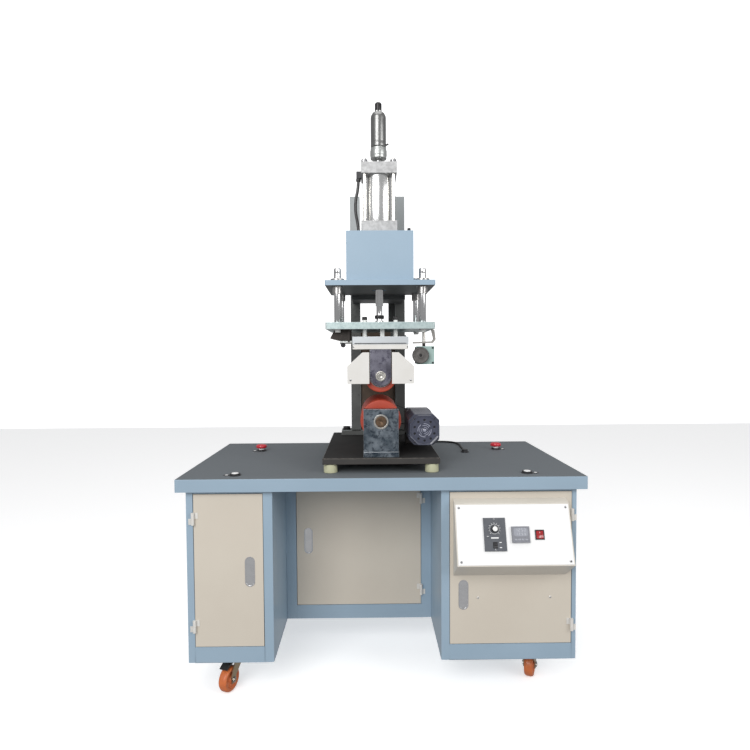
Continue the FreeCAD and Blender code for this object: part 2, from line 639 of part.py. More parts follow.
# Air hose from the rear cap's elbow down into the head cover.
HOSE_ROUTE = [(-66, 262, 936), (-67, 262, 904), (-76, 264, 868), (-77, 267, 830), (-70, 270, 795),
              (-66, 271, 763), (-65, 272, 733)]


def build_cords():
    """The machine's lead and the cylinder's air hose."""
    height = DRIVERS["DeskHeight"]
    lead = [(x, desk_y(y), height + z) for x, y, z in LEAD_ROUTE]
    node("machine_lead", tube(lead, DRIVERS["LeadRadius"], "machine_lead"))
    hose = [(x, desk_y(y), height + z) for x, y, z in HOSE_ROUTE]
    node("air_hose", tube(hose, DRIVERS["HoseRadius"], "air_hose"))


# --- casters ------------------------------------------------------------------------------------

def caster_fork(name):
    """Pressed fork with its raceway, pivot at the origin and wheel trailing along +Y."""
    owner = body(name)
    side = [("-20", "-15"), ("-20", "-24"), ("Trail - 12", "-64"), ("Trail - 9", "-84"),
            ("Trail + 9", "-84"), ("Trail + 12", "-64"), ("26", "-24"), ("26", "-15")]
    pad(owner, outline(owner, "YZ_Plane", side), "ForkWidth", middle=True)
    slot = [("-ForkGap / 2", "-19"), ("ForkGap / 2", "-19"), ("ForkGap / 2", "-95"),
            ("-ForkGap / 2", "-95")]
    pocket(owner, outline(owner, "XZ_Plane", slot), middle=True)
    pocket(owner, circles(owner, "YZ_Plane", [("0", "-23", "PedalPin + PinFit")]), middle=True)
    race = [("0", "-19"), ("20", "-19"), ("21.5", "-14"), ("21.5", "-8.5"), ("18", "-6.3"),
            ("0", "-6.3")]
    turned(owner, outline(owner, "XZ_Plane", race))
    axle = circles(owner, "YZ_Plane", [("Trail", "-FloorGap + WheelRadius", "AxleRadius")])
    pad(owner, axle, "ForkWidth + 8", middle=True)
    return owner


def wheel(name):
    """Tread and hub of one wheel, axle along X."""
    owner = body(name)
    half = "WheelWidth / 2"
    section = [(f"-{half} - 1.5", "AxleRadius + 0.08"), (f"-{half} - 1.5", "12"),
               (f"-{half} + 3", "15"), (f"-{half} + 3", "26"), (f"-{half}", "27.5"),
               (f"-{half}", "WheelRadius - 5"), (f"-{half} + 5", "WheelRadius"),
               (f"{half} - 5", "WheelRadius"), (half, "WheelRadius - 5"), (half, "27.5"),
               (f"{half} - 3", "26"), (f"{half} - 3", "15"), (f"{half} + 1.5", "12"),
               (f"{half} + 1.5", "AxleRadius + 0.08")]
    turned(owner, outline(owner, "XY_Plane", section), "H_Axis")
    return owner


def brake_pedal(name):
    """Foot pedal of the brake, hinged in the fork above the wheel."""
    owner = body(name)
    side = [("-6", "-21.5"), ("6", "-20.5"), ("46", "-24"), ("62", "-33"), ("60", "-36"), ("44", "-27.5"),
            ("6", "-25"), ("-6", "-25.5")]
    pad(owner, outline(owner, "YZ_Plane", side), "ForkGap - 4", middle=True)
    pad(owner, circles(owner, "YZ_Plane", [("0", "-23", "PedalPin")]), "ForkWidth", middle=True)
    return owner


def build_casters():
    """Two braked swivel casters in front and two fixed ones behind."""
    mounts = []
    upright = FreeCAD.Vector(0, 0, 1)
    for name, sign, yaw in (("left", -1, DRIVERS["LeftYaw"]), ("right", 1, DRIVERS["RightYaw"])):
        x = f"{sign} * CasterSide"
        y = at("CasterFront")
        mounts.append(join(box(f"{x} - 32", f"{y} - 40", "FloorGap - 3", "64", "80", "3", "TopPlate"),
                           rod(x, y, "FloorGap - 6", "22", "3", name="Race")))
        fork = caster_fork(f"{name}_caster_fork")
        node(f"{name}_caster_fork", place(fork, x, y, "FloorGap", upright, yaw))
        sine = math.sin(math.radians(yaw))
        cosine = math.cos(math.radians(yaw))
        node(f"{name}_front_wheel", place(wheel(f"{name}_front_wheel"), f"{x} - Trail * {sine:.6f}",
                                          f"{y} + Trail * {cosine:.6f}", "WheelRadius", upright, yaw))
        pedal = brake_pedal(f"{name}_brake_pedal")
        node(f"{name}_brake_pedal", place(pedal, x, y, "FloorGap", upright, yaw))
        back = at("CasterRear")
        bracket = [box(f"{x} - 32", f"{back} - 40", "FloorGap - 3", "64", "80", "3", "TopPlate")]
        for edge in ("- ForkWidth / 2", "+ ForkGap / 2"):
            bracket.append(box(f"{x} {edge}", f"{back} - 15", "WheelRadius - 9",
                               "(ForkWidth - ForkGap) / 2", "30", "FloorGap - WheelRadius + 9", "Cheek"))
        bracket.append(rod(f"{x} - ForkWidth / 2 - 4", back, "WheelRadius", "AxleRadius", "ForkWidth + 8",
                           "X", "Axle"))
        mounts.append(join(*bracket))
        node(f"{name}_rear_wheel", place(wheel(f"{name}_rear_wheel"), x, back, "WheelRadius"))
    node("caster_mounts", group(*mounts))


# --- base, column and head ----------------------------------------------------------------------

def build_base():
    """Steel base plate on four plastic feet."""
    owner = block_body("base_plate", "BaseWidth", "BaseDepth", "BaseThick")
    dress(owner, "Chamfer", lambda e: e.CenterOfMass.z > DRIVERS["BaseThick"] - 0.1, "1.5")
    node("base_plate", place(owner, "0", at("BaseFront"), up("BaseTop - BaseThick")))
    feet = []
    for side in ("-1", "1"):
        for back in ("BaseFront + FootInset", "BaseFront + BaseDepth - FootInset"):
            foot = doc.addObject("Part::Cone", "Foot")
            bind(foot, "Radius1", "FootRadius")
            bind(foot, "Radius2", "FootRadius - 1")
            bind(foot, "Height", "BaseTop - BaseThick")
            feet.append(place(foot, f"{side} * (BaseWidth / 2 - FootInset)", at(back), "DeskHeight"))
    node("base_feet", group(*feet))


def build_column():
    """Two uprights on a welded foot, closed low down by a panel, with the cable conduit behind."""
    outer = "UprightGap / 2 + UprightWidth"
    foot_top = up("BaseTop + FlangeThick")
    rise = "ColumnTop - BaseTop - FlangeThick"
    solids = [box("-FlangeWidth / 2", at("ColumnFront - 1"), up("BaseTop"), "FlangeWidth", "FlangeDepth",
                  "FlangeThick", "Flange")]
    for x in (f"-({outer})", "UprightGap / 2"):
        solids.append(box(x, at("ColumnFront"), foot_top, "UprightWidth", "UprightDepth", rise, "Upright"))
    solids.append(box("-UprightGap / 2", at("ColumnFront + 12"), foot_top, "UprightGap", "4",
                      "PanelTop - BaseTop - FlangeThick", "Panel"))
    solids.append(box("43", at("ColumnFront + 45"), up("136"), "24", "24", "ArmUnder - 136 + 60", "Conduit"))
    node("column", group(*solids))


def build_head():
    """Welded arm from the column, the top plate under it and the sheet cover in front."""
    owner = body("head_arm")
    side = [("ArmFront", "PlateUnder + PlateThick"), ("ArmFront", "ArmTop"), ("ColumnFront", "ArmTop"),
            ("ColumnFront", "ArmUnder"), ("PlateFront + PlateDepth", "ArmUnder"),
            ("PlateFront + PlateDepth", "PlateUnder + PlateThick")]
    pad(owner, outline(owner, "YZ_Plane", side), "ArmWidth", middle=True)
    pocket(owner, circles(owner, "XY_Plane", [("0", "Centre", "32")]), middle=True)
    node("head_arm", place(owner, "0", at("0"), "DeskHeight"))
    plate = block_body("top_plate", "PlateWidth", "PlateDepth", "PlateThick")
    holes = [(f"{side} * PostSide", f"{back} - PlateFront", "BushRadius + 0.05") for side in (-1, 1)
             for back in ("PostFront", "PostRear")]
    holes.append(("0", "Centre - PlateFront", "24"))
    pocket(plate, circles(plate, "XY_Plane", holes), middle=True)
    dress(plate, "Chamfer", lambda e: runs_along(e, 2) and abs(e.CenterOfMass.x) > 150, "3")
    node("top_plate", place(plate, "0", at("PlateFront"), up("PlateUnder")))
    outer = box("-CoverWidth / 2", at("CoverFront"), up("PlateUnder + PlateThick"), "CoverWidth",
                "CoverRear - CoverFront", "CoverTop - PlateUnder - PlateThick", "CoverSkin")
    inner = box("-CoverWidth / 2 + CoverSheet", at("CoverFront + CoverSheet"),
                up("PlateUnder + PlateThick - 1"), "CoverWidth - 2 * CoverSheet",
                "CoverRear - CoverFront + 5", "CoverTop - CoverSheet - PlateUnder - PlateThick + 1",
                "Inside")
    window = box("-CapSide / 2 - 4", at("Centre - CapSide / 2 - 4"), up("CoverTop - 10"), "CapSide + 8",
                 "CapSide + 8", "20", "CylinderWindow")
    hose = rod("-65", at("272"), up("CoverTop - 10"), "HoseRadius + 1.5", "20", name="HoseHole")
    node("head_cover", cut(outer, inner, window, hose))


def build_bushes():
    """Flanged guide bushes pressed in the top plate."""
    bushes = []
    for side in ("-1", "1"):
        for back in ("PostFront", "PostRear"):
            x, y = f"{side} * PostSide", at(back)
            sleeve = rod(x, y, up("PlateUnder - 23"), "BushRadius", "PlateThick + 24", name="Bush")
            flange = rod(x, y, up("PlateUnder + PlateThick"), "BushFlange", "7", name="BushFlange")
            bore = rod(x, y, up("PlateUnder - 30"), "PostRadius + 0.05", "60", name="BushBore")
            bushes.append(cut(join(sleeve, flange), bore))
    node("guide_bushes", group(*bushes))


def cylinder_cap(bottom):
    """One square end cap with its rod bore and four holes for the tie rods."""
    x, y = "-CapSide / 2", at("Centre - CapSide / 2")
    blank = box(x, y, up(bottom), "CapSide", "CapSide", "CapHeight", "Cap")
    bore = rod("0", at("Centre"), up(f"{bottom} - 1"), "RodRadius + RodFit", "CapHeight + 2", name="RodBore")
    return cut(blank, bore, *tie_rods("TieRadius + 0.05", bottom + " - 1", "CapHeight + 2"))


def tie_rods(radius, bottom, height):
    """Four round bars at the corners of the cylinder."""
    return [rod(f"{sx} * TieOffset", at(f"Centre + {sy} * TieOffset"), up(bottom), radius, height,
                name="Tie")
            for sx in ("-1", "1") for sy in ("-1", "1")]


def build_cylinder():
    """Barrel between two caps, held by tie rods, on a mounting plate."""
    mount = box("-CapSide / 2", at("Centre - CapSide / 2"), up("ArmTop"), "CapSide", "CapSide",
                "FrontCap - ArmTop", "MountingPlate")
    hole = rod("0", at("Centre"), up("ArmTop - 1"), "20", "30", name="MountHole")
    ties = tie_rods("TieRadius", "FrontCap + 3", "RearCap + CapHeight - FrontCap + 6")
    front = cylinder_cap("FrontCap")
    elbow = box("-CapSide / 2 - 16", at("254"), up("936"), "16", "16", "22", "Elbow")
    plate = cut(mount, hole)
    node("cylinder_caps", group(plate, front, cylinder_cap("RearCap"), *ties, elbow))
    tube_z = up("FrontCap + CapHeight")
    length = "RearCap - FrontCap - CapHeight"
    barrel = cut(rod("0", at("Centre"), tube_z, "BarrelRadius", length, name="Barrel"),
                 rod("0", at("Centre"), tube_z, "BoreRadius", length, name="BarrelBore"))
    node("cylinder_barrel", barrel)


def build_piston():
    """Through rod with its piston, stop collar and stroke sleeve."""
    owner = body("piston_rod")
    base = "PlatenUnder + PlatenThick"
    piston_low = "FrontCap + CapHeight + 90"
    side = [("0", base), ("14", base), ("14", f"{base} + 11"), ("10", f"{base} + 11"),
            ("10", "516"), ("RodRadius", "516"), ("RodRadius", piston_low),
            ("BoreRadius - 0.1", piston_low), ("BoreRadius - 0.1", f"{piston_low} + 24"),
            ("RodRadius", f"{piston_low} + 24"), ("RodRadius", "SleeveStart + SleeveHeight + 6"),
            ("11", "SleeveStart + SleeveHeight + 8"), ("11", "RodTop - 2"), ("9", "RodTop"),
            ("0", "RodTop")]
    turned(owner, outline(owner, "XZ_Plane", side))
    nut = [(f"15.5 * {math.cos(math.radians(a)):.6f}", f"15.5 * {math.sin(math.radians(a)):.6f}")
           for a in range(0, 360, 60)]
    nut_body = body("piston_nut")
    pad(nut_body, outline(nut_body, "XY_Plane", nut), "12")
    place(nut_body, "0", at("Centre"), up(f"{base} + 18"))
    place(owner, "0", at("Centre"), "DeskHeight")
    node("piston_rod", join(owner, nut_body))
    collar = cut(rod("0", at("Centre"), up("RearCap + CapHeight + CollarGap"), "StopCollar",
                     "StopCollarHeight", name="Collar"),
                 rod("0", at("Centre"), up("RearCap"), "RodRadius + RodFit", "200", name="CollarBore"))
    node("stroke_collar", collar)
    sleeve = body("stroke_sleeve")
    side = [("RodRadius + RodFit", "0"), ("SleeveRadius", "0"), ("SleeveRadius", "SleeveHeight"),
            ("15", "SleeveHeight + SleeveCone"), ("RodRadius + RodFit", "SleeveHeight + SleeveCone")]
    turned(sleeve, outline(sleeve, "XZ_Plane", side))
    place(sleeve, "0", at("Centre"), up("SleeveStart"))
    pointer = box("SleeveRadius - 2", at("Centre - 1.5"), up("SleeveStart + 4"), "11", "3", "9", "Pointer")
    node("stroke_sleeve", join(sleeve, pointer))


# --- moving platen ------------------------------------------------------------------------------

def build_platen():
    """Platen plate with four guide posts, heater plates, roller fork and side guards."""
    plate = block_body("platen", "PlatenWidth", "PlateDepth", "PlatenThick")
    holes = [(f"{side} * PostSide", f"{back} - PlateFront", "PostRadius + 0.05") for side in (-1, 1)
             for back in ("PostFront", "PostRear")]
    pocket(plate, circles(plate, "XY_Plane", holes), middle=True)
    dress(plate, "Chamfer", lambda e: runs_along(e, 2) and abs(e.CenterOfMass.x) > 150, "4")
    node("platen", place(plate, "0", at("PlateFront"), up("PlatenUnder")))
    posts = []
    for side in ("-1", "1"):
        for back in ("PostFront", "PostRear"):
            x, y = f"{side} * PostSide", at(back)
            shaft = rod(x, y, up("PlatenUnder - 2"), "PostRadius", "PostTop - PlatenUnder + 2", name="Post")
            washer = rod(x, y, up("PlatenUnder - 9"), "9", "8", name="PostNut")
            posts.append(join(shaft, washer))
    node("guide_posts", group(*posts))
    mount_top = "MountUnder + MountThick"
    heater = box("-MountWidth / 2 - 0.5", at("MountFront"), up(mount_top), "MountWidth + 1", "MountDepth",
                 "HeaterThick", "HeaterPlate")
    groove = box("-MountWidth / 2 + 6", at("MountFront - 1"), up(f"{mount_top} + 2"), "MountWidth - 12", "3",
                 "2", "Groove")
    lower = box("-MountWidth / 2", at("MountFront + 1"), up("MountUnder"), "MountWidth", "MountDepth - 2",
                "MountThick", "MountPlate")
    studs = []
    for side in ("-1", "1"):
        for back in ("130", "350"):
            x, y = f"{side} * SpacerSide", at(back)
            top = f"{mount_top} + HeaterThick"
            studs.append(rod(x, y, up(top), "SpacerRadius", f"PlatenUnder - ({top})", name="Spacer"))
            studs.append(join(rod(x, y, up("PlatenUnder + PlatenThick"), "SpacerRadius", "9", name="Sleeve"),
                              rod(x, y, up("PlatenUnder + PlatenThick + 8"), "8", "10", name="ScrewHead")))
    studs.append(box("0", at("124"), up("MountUnder + MountThick + HeaterThick"), "13", "13",
                     "PlatenUnder - MountUnder - MountThick - HeaterThick", "Insulator"))
    node("heater_mount", group(cut(heater, groove), lower, *studs))
    build_fork()
    build_guards()


def build_fork():
    """Two hanging plates with round lower ends that carry the print roller's shaft."""
    cheeks = []
    for number_of, front in enumerate(("ForkFront", "2 * Centre - ForkFront - ForkPlateThick")):
        owner = body(f"roller_fork_{number_of}")
        half = "ForkPlateWidth / 2"
        sides = [(f"-{half}", "ForkBottom"), (half, "ForkBottom"), (half, "MountUnder"),
                 (f"-{half}", "MountUnder")]
        pad(owner, outline(owner, "XZ_Plane", sides), "ForkPlateThick", back=True)
        pad(owner, circles(owner, "XZ_Plane", [("0", "ForkBottom", half)]), "ForkPlateThick", back=True)
        bore = circles(owner, "XZ_Plane", [("0", "PrintAxis", "PrintShaft + 0.06")])
        pocket(owner, bore, middle=True)
        cheeks.append(place(owner, "0", at(front), "DeskHeight"))
    node("roller_fork", group(*cheeks))


def guard_outline(inset):
    """Front view of one guard: square below, with its upper outer corner cut off."""
    side = f"GuardSide - {inset}"
    top = f"GuardTop - {inset}"
    return [("GuardInner", "GuardUnder"), (side, "GuardUnder"), (side, "GuardTop - 42"),
            ("GuardSide - 47", top), ("GuardInner", top)]


def build_guards():
    """Painted sheet guards either side of the hot roller, open underneath and towards it."""
    guards = []
    depth = "2 * (Centre - ForkFront) + 6"
    for mirrored in (False, True):
        sign = -1 if mirrored else 1
        solids = []
        for label, inset, start, length in (("skin", "0", "0", depth),
                                            ("hollow", "GuardSheet", "GuardSheet",
                                             f"{depth} - 2 * GuardSheet")):
            owner = body(f"guard_{label}_{sign + 1}")
            points = guard_outline(inset)
            if label == "hollow":
                points = [(a, b.replace("GuardUnder", "GuardUnder - 5")) for a, b in points]
                points = [(a.replace("GuardInner", "GuardInner - 5"), b) for a, b in points]
            points = [(f"{sign} * ({a})", b) for a, b in points]
            if mirrored:
                points.reverse()
            pad(owner, outline(owner, "XZ_Plane", points), length, back=True)
            solids.append(place(owner, "0", at(f"ForkFront - 3 + ({start})"), "DeskHeight"))
        guards.append(cut(solids[0], solids[1]))
    node("roller_guards", group(*guards))


def build_foil_gear():
    """Foil brackets under the platen, with the small rewind motor and its wheel."""
    tray = body("foil_tray")
    sides = [("-156", "408"), ("-142", "PlatenUnder"), ("-92", "PlatenUnder"), ("-92", "402"),
             ("-132", "402")]
    pad(tray, outline(tray, "XZ_Plane", sides), "110", back=True)
    place(tray, "0", at("136"), "DeskHeight")
    spindle = rod("-125", at("128"), up("396"), "5.5", "38", "X", "FoilRod")
    post = box("-100", at("122.5"), up("396"), "6", "12", "PlatenUnder - 396", "RodPost")
    knob = rod("-115", at("120"), up("387"), "7.5", "16", "Y", "FoilKnob")
    arm = body("foil_arm")
    strip = [("162", "PlatenUnder"), ("172", "PlatenUnder"), ("176", "404"), ("168", "393"),
             ("104", "391"), ("104", "396"), ("164", "398"), ("169", "406")]
    pad(arm, outline(arm, "XZ_Plane", strip), "16", back=True)
    place(arm, "0", at("160"), "DeskHeight")
    hanger = rod("139", at("168"), up("RewindAxis + RewindSize / 2"), "5",
                 "PlatenUnder - RewindAxis - RewindSize / 2", name="Hanger")
    node("foil_bracket", group(tray, join(spindle, post, knob), join(arm, hanger)))
    half = "RewindSize / 2"
    flange = box(f"RewindSide - {half}", at("RewindFront"), up(f"RewindAxis - {half}"), "RewindSize", "6",
                 "RewindSize", "MotorFlange")
    can = box(f"RewindSide - {half} + 1.5", at("RewindFront + 6"), up(f"RewindAxis - {half} + 1.5"),
              "RewindSize - 3", "70", "RewindSize - 3", "MotorCan")
    shaft = rod("RewindSide - WheelOffset", at("RewindFront - 20"), up("RewindAxis"), "4", "21", "Y",
                "Shaft")
    node("rewind_motor", join(flange, can, shaft))
    disc = body("rewind_wheel")
    rim = [("4.06", "0"), ("RewindWheel - 4", "0"), ("RewindWheel", "1.5"), ("RewindWheel", "4.5"),
           ("RewindWheel - 1.5", "7"), ("RewindWheel", "9.5"), ("RewindWheel", "RewindThick - 1.5"),
           ("RewindWheel - 1.5", "RewindThick"), ("4.06", "RewindThick")]
    turned(disc, outline(disc, "XY_Plane", rim))
    node("rewind_wheel", place(disc, "RewindSide - WheelOffset", at("RewindFront - 18"), up("RewindAxis")))


# --- rollers and drive --------------------------------------------------------------------------

def roller(name, radius, bore):
    """A silicone-covered roller with a slightly recessed core, axis along Y."""
    owner = body(name)
    section = [(bore, "2"), (f"({radius}) - 17", "2"), (f"({radius}) - 15", "0"),
               (f"({radius}) - 1.5", "0"), (radius, "1.5"), (radius, "RollerLength - 1.5"),
               (f"({radius}) - 1.5", "RollerLength"), (f"({radius}) - 15", "RollerLength"),
               (f"({radius}) - 17", "RollerLength - 2"), (bore, "RollerLength - 2")]
    turned(owner, outline(owner, "XY_Plane", section))
    return place(owner, "0", at("RollerFront"))


def build_rollers():
    """Hot print roller above and drive roller below, each on its own shaft."""
    skin = roller("print_roller", "PrintRadius", "PrintShaft")
    bind(skin, "Placement.Base.z", up("PrintAxis"))
    axle = rod("0", at("ForkFront - 4"), up("PrintAxis"), "PrintShaft", "2 * (Centre - ForkFront) + 8", "Y",
               "PrintShaft")
    ring = rod("0", at("ForkFront - 3.5"), up("PrintAxis"), "16", "3.3", "Y", "ShaftRing")
    node("print_roller", join(skin, axle, ring))
    cover = roller("drive_roller", "DriveRadius", "DriveShaft + 0.02")
    bind(cover, "Placement.Base.z", up("DriveAxis"))
    node("drive_roller", cover)
    shaft = rod("0", at("BlockFront - 1.5"), up("DriveAxis"), "DriveShaft",
                "PulleyBack + PulleyWidth - BlockFront + 1.5", "Y", "Shaft")
    pulley = rod("0", at("PulleyBack"), up("DriveAxis"), "BigPulley", "PulleyWidth", "Y", "Pulley")
    node("drive_shaft", join(shaft, pulley))
    small = rod("MotorSide", at("PulleyBack"), up("MotorAxis"), "SmallPulley", "PulleyWidth", "Y", "Pulley")
    bore = rod("MotorSide", at("PulleyBack - 1"), up("MotorAxis"), "6.05", "PulleyWidth + 2", "Y", "Bore")
    node("motor_pulley", cut(small, bore))
    build_blocks()
    build_belt()
    build_motor()


def build_blocks():
    """Two steel bearing blocks, each with its bush and welded foot strip."""
    blocks = []
    for front in ("BlockFront", "2 * Centre - BlockFront - BlockThick"):
        blank = box("-BlockWidth / 2", at(front), up("BaseTop"), "BlockWidth", "BlockThick",
                    "BlockTop - BaseTop", "Block")
        step = box("-BlockWidth / 2 - 1", at(f"{front} - 1.5"), up("BaseTop"), "BlockWidth + 2",
                   "BlockThick + 3", "BlockFoot", "FootStrip")
        seat = rod("0", at(f"{front} - 10"), up("DriveAxis"), "DriveShaft + BushWall", "60", "Y", "Seat")
        bush = rod("0", at(f"{front} - 1"), up("DriveAxis"), "DriveShaft + BushWall - 0.05",
                   "BlockThick + 1", "Y", "Bush")
        bore = rod("0", at(f"{front} - 10"), up("DriveAxis"), "DriveShaft + 0.06", "60", "Y", "BushBore")
        blocks.append(cut(join(blank, step), seat))
        blocks.append(cut(bush, bore))
    node("bearing_blocks", group(*blocks))


def belt_outline(gap):
    """Belt loop at one distance from its pulleys, drawn on the XZ plane of its body."""
    big = DRIVERS["BigPulley"] + gap
    small = DRIVERS["SmallPulley"] + gap
    across = DRIVERS["MotorSide"]
    drop = DRIVERS["MotorAxis"] - DRIVERS["DriveAxis"]
    span = math.hypot(across, drop)
    lean = math.atan2(drop, across)
    spread = math.acos((big - small) / span)
    height = DRIVERS["DeskHeight"]
    centres = (FreeCAD.Vector(0, 0, height + DRIVERS["DriveAxis"]),
               FreeCAD.Vector(across, 0, height + DRIVERS["MotorAxis"]))

    def on_circle(centre, radius, angle):
        return centre + FreeCAD.Vector(radius * math.cos(angle), 0, radius * math.sin(angle))

    high, low = lean + spread, lean - spread
    start, finish = on_circle(centres[0], big, high), on_circle(centres[0], big, low)
    far = on_circle(centres[0], big, lean + math.pi)
    top, bottom = on_circle(centres[1], small, high), on_circle(centres[1], small, low)
    near = on_circle(centres[1], small, lean)
    edges = [Part.Arc(start, far, finish).toShape(), Part.LineSegment(finish, bottom).toShape(),
             Part.Arc(bottom, near, top).toShape(), Part.LineSegment(top, start).toShape()]
    return Part.Wire(edges)


def build_belt():
    """Flat belt from the motor's pulley to the drive roller's."""
    outer = Part.Face(belt_outline(DRIVERS["BeltGap"] + DRIVERS["BeltThick"]))
    inner = Part.Face(belt_outline(DRIVERS["BeltGap"]))
    along = FreeCAD.Vector(0, DRIVERS["BeltWidth"], 0)
    loop = outer.extrude(along).cut(inner.extrude(along))
    belt = doc.addObject("Part::Feature", "Belt")
    belt.Shape = loop.Solids[0]
    margin = (DRIVERS["PulleyWidth"] - DRIVERS["BeltWidth"]) / 2
    belt.Placement = FreeCAD.Placement(FreeCAD.Vector(0, desk_y(DRIVERS["PulleyBack"]) + margin, 0),
                                       FreeCAD.Rotation())
    node("drive_belt", belt)


def octagon(size, corner):
    """Corners of a square with its corners cut off, about the origin."""
    half = f"({size}) / 2"
    inner = f"({size}) / 2 - ({corner})"
    return [(f"-({inner})", f"-{half}"), (inner, f"-{half}"), (half, f"-({inner})"), (half, inner),
            (inner, half), (f"-({inner})", half), (f"-{half}", inner), (f"-{half}", f"-({inner})")]


def build_motor():
    """Gear motor beside the rollers: fan cover, body, gearhead, output shaft and foot bracket."""
    x, z = "MotorSide", up("MotorAxis")
    fan = body("motor_fan_cover")
    pad(fan, outline(fan, "XZ_Plane", octagon("MotorSize - 3", "26")), "18", back=True)
    place(fan, x, at("MotorFront"), z)
    case = body("motor_case")
    pad(case, outline(case, "XZ_Plane", octagon("MotorSize", "18")), "MotorLength - 18", back=True)
    place(case, x, at("MotorFront + 18"), z)
    gear = body("gearhead")
    pad(gear, outline(gear, "XZ_Plane", octagon("MotorSize - 6", "8")), "GearLength", back=True)
    place(gear, x, at("MotorFront + MotorLength"), z)
    output = rod(x, at("MotorFront + MotorLength + GearLength"), z, "6",
                 "PulleyBack + PulleyWidth - MotorFront - MotorLength - GearLength", "Y", "OutputShaft")
    stand = box("MotorSide - 45", at("MotorFront + MotorLength + 4"), up("BaseTop"), "82",
                "GearLength - 10", "MotorAxis - BaseTop - (MotorSize - 6) / 2", "MotorStand")
    node("drive_motor", group(join(fan, case), join(gear, output), stand))


def check_and_write():
    """Stop on any failed object, then write one file for each node."""
    doc.recompute()
    bad = [o.Label for o in doc.Objects if "Invalid" in o.State or "Error" in o.State]
    if bad:
        raise RuntimeError(f"failed objects: {bad}")
    os.makedirs("parts", exist_ok=True)
    for name, solid in nodes.items():
        shape = solid.Shape
        if shape.isNull() or not shape.isValid() or shape.Volume <= 0:
            raise RuntimeError(f"{name}: bad shape")
        shape.exportStep(f"parts/{name}.step")
    box_all = Part.makeCompound([solid.Shape for solid in nodes.values()]).BoundBox
    print(f"{len(nodes)} nodes, X {box_all.XMin:.1f}..{box_all.XMax:.1f}, Y {box_all.YMin:.1f}.."
          f"{box_all.YMax:.1f}, Z {box_all.ZMin:.1f}..{box_all.ZMax:.1f}")


build_desk_top()
build_carcass()
build_hinge_pins()
for each_door in DOORS:
    build_door(each_door)
build_control_box()
build_face()
build_instruments()
build_fittings()
build_buttons()
build_cords()
build_casters()
build_base()
build_column()
build_head()
build_bushes()
build_cylinder()
build_piston()
build_platen()
build_foil_gear()
build_rollers()
check_and_write()
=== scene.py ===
import json
import logging
import math
from dataclasses import dataclass
from enum import Enum
from typing import Callable, Optional, Sequence

import bmesh
import bpy
import numpy as np
from mathutils import Matrix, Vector
from numpy.typing import NDArray


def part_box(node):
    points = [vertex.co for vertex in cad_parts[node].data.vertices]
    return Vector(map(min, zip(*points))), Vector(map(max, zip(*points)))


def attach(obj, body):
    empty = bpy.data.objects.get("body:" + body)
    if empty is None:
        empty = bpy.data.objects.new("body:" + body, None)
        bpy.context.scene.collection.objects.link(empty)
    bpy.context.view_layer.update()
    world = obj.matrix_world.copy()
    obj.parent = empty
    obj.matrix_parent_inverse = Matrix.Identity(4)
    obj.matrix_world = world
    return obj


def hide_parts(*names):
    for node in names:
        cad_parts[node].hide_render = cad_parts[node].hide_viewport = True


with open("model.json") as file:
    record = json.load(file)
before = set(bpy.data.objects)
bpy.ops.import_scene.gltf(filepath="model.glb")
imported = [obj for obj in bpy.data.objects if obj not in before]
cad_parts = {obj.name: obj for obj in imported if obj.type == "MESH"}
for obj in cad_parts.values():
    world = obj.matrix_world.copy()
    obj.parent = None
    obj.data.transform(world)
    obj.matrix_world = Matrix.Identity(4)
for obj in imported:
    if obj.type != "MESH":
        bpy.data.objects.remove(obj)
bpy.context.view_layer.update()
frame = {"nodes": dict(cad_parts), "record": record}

LOG = logging.getLogger("hot_foil_stamper")
Array = NDArray[np.float64]
Triple = tuple[float, float, float]
Profile = Sequence[tuple[float, float]]
MM = 0.001
DESK_LOW, DESK_HIGH = (np.array(corner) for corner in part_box("desk_top"))
BODIES = frame["record"]["behaviour"]["bodies"]
BODY_OF = {node: body for body, members in BODIES.items() for node in members}


def spot(across: float, back: float, rise: float) -> Triple:
    """Metres in the frame from millimetres: across, behind the desk's front edge, above its top."""
    return (across * MM, float(DESK_LOW[1]) + back * MM, float(DESK_HIGH[2]) + rise * MM)


# --- shapes -------------------------------------------------------------------------------------

def unit(vector: Array) -> Array:
    """The vector divided by its length."""
    return vector / np.linalg.norm(vector)


@dataclass(frozen=True)
class Seat:
    """Where a piece is drawn: an origin in metres and the way it faces."""

    origin: Triple
    out: Triple = (0.0, 0.0, 1.0)
    spin: float = 0.0

    def axes(self) -> Array:
        """Rows are the right, up and out directions: up leans to +Z, right is up crossed with out."""
        out = unit(np.array(self.out, float))
        lead = np.array((0.0, 1.0, 0.0)) if abs(out[2]) > 0.95 else np.array((0.0, 0.0, 1.0))
        up = unit(lead - out * (lead @ out))
        right = np.cross(up, out)
        turn = math.radians(self.spin)
        return np.array([right * math.cos(turn) + up * math.sin(turn),
                         up * math.cos(turn) - right * math.sin(turn), out])

    def place(self, points: Array) -> Array:
        """Points in millimetres, in this seat's directions, as metres in the frame."""
        return np.array(self.origin) + (points * MM) @ self.axes()

    def moved(self, across: float = 0.0, rise: float = 0.0, proud: float = 0.0, spin: float = 0.0) -> "Seat":
        """A seat shifted by millimetres along its own directions."""
        origin = self.place(np.array([across, rise, proud], float))
        return Seat(tuple(float(v) for v in origin), self.out, self.spin + spin)


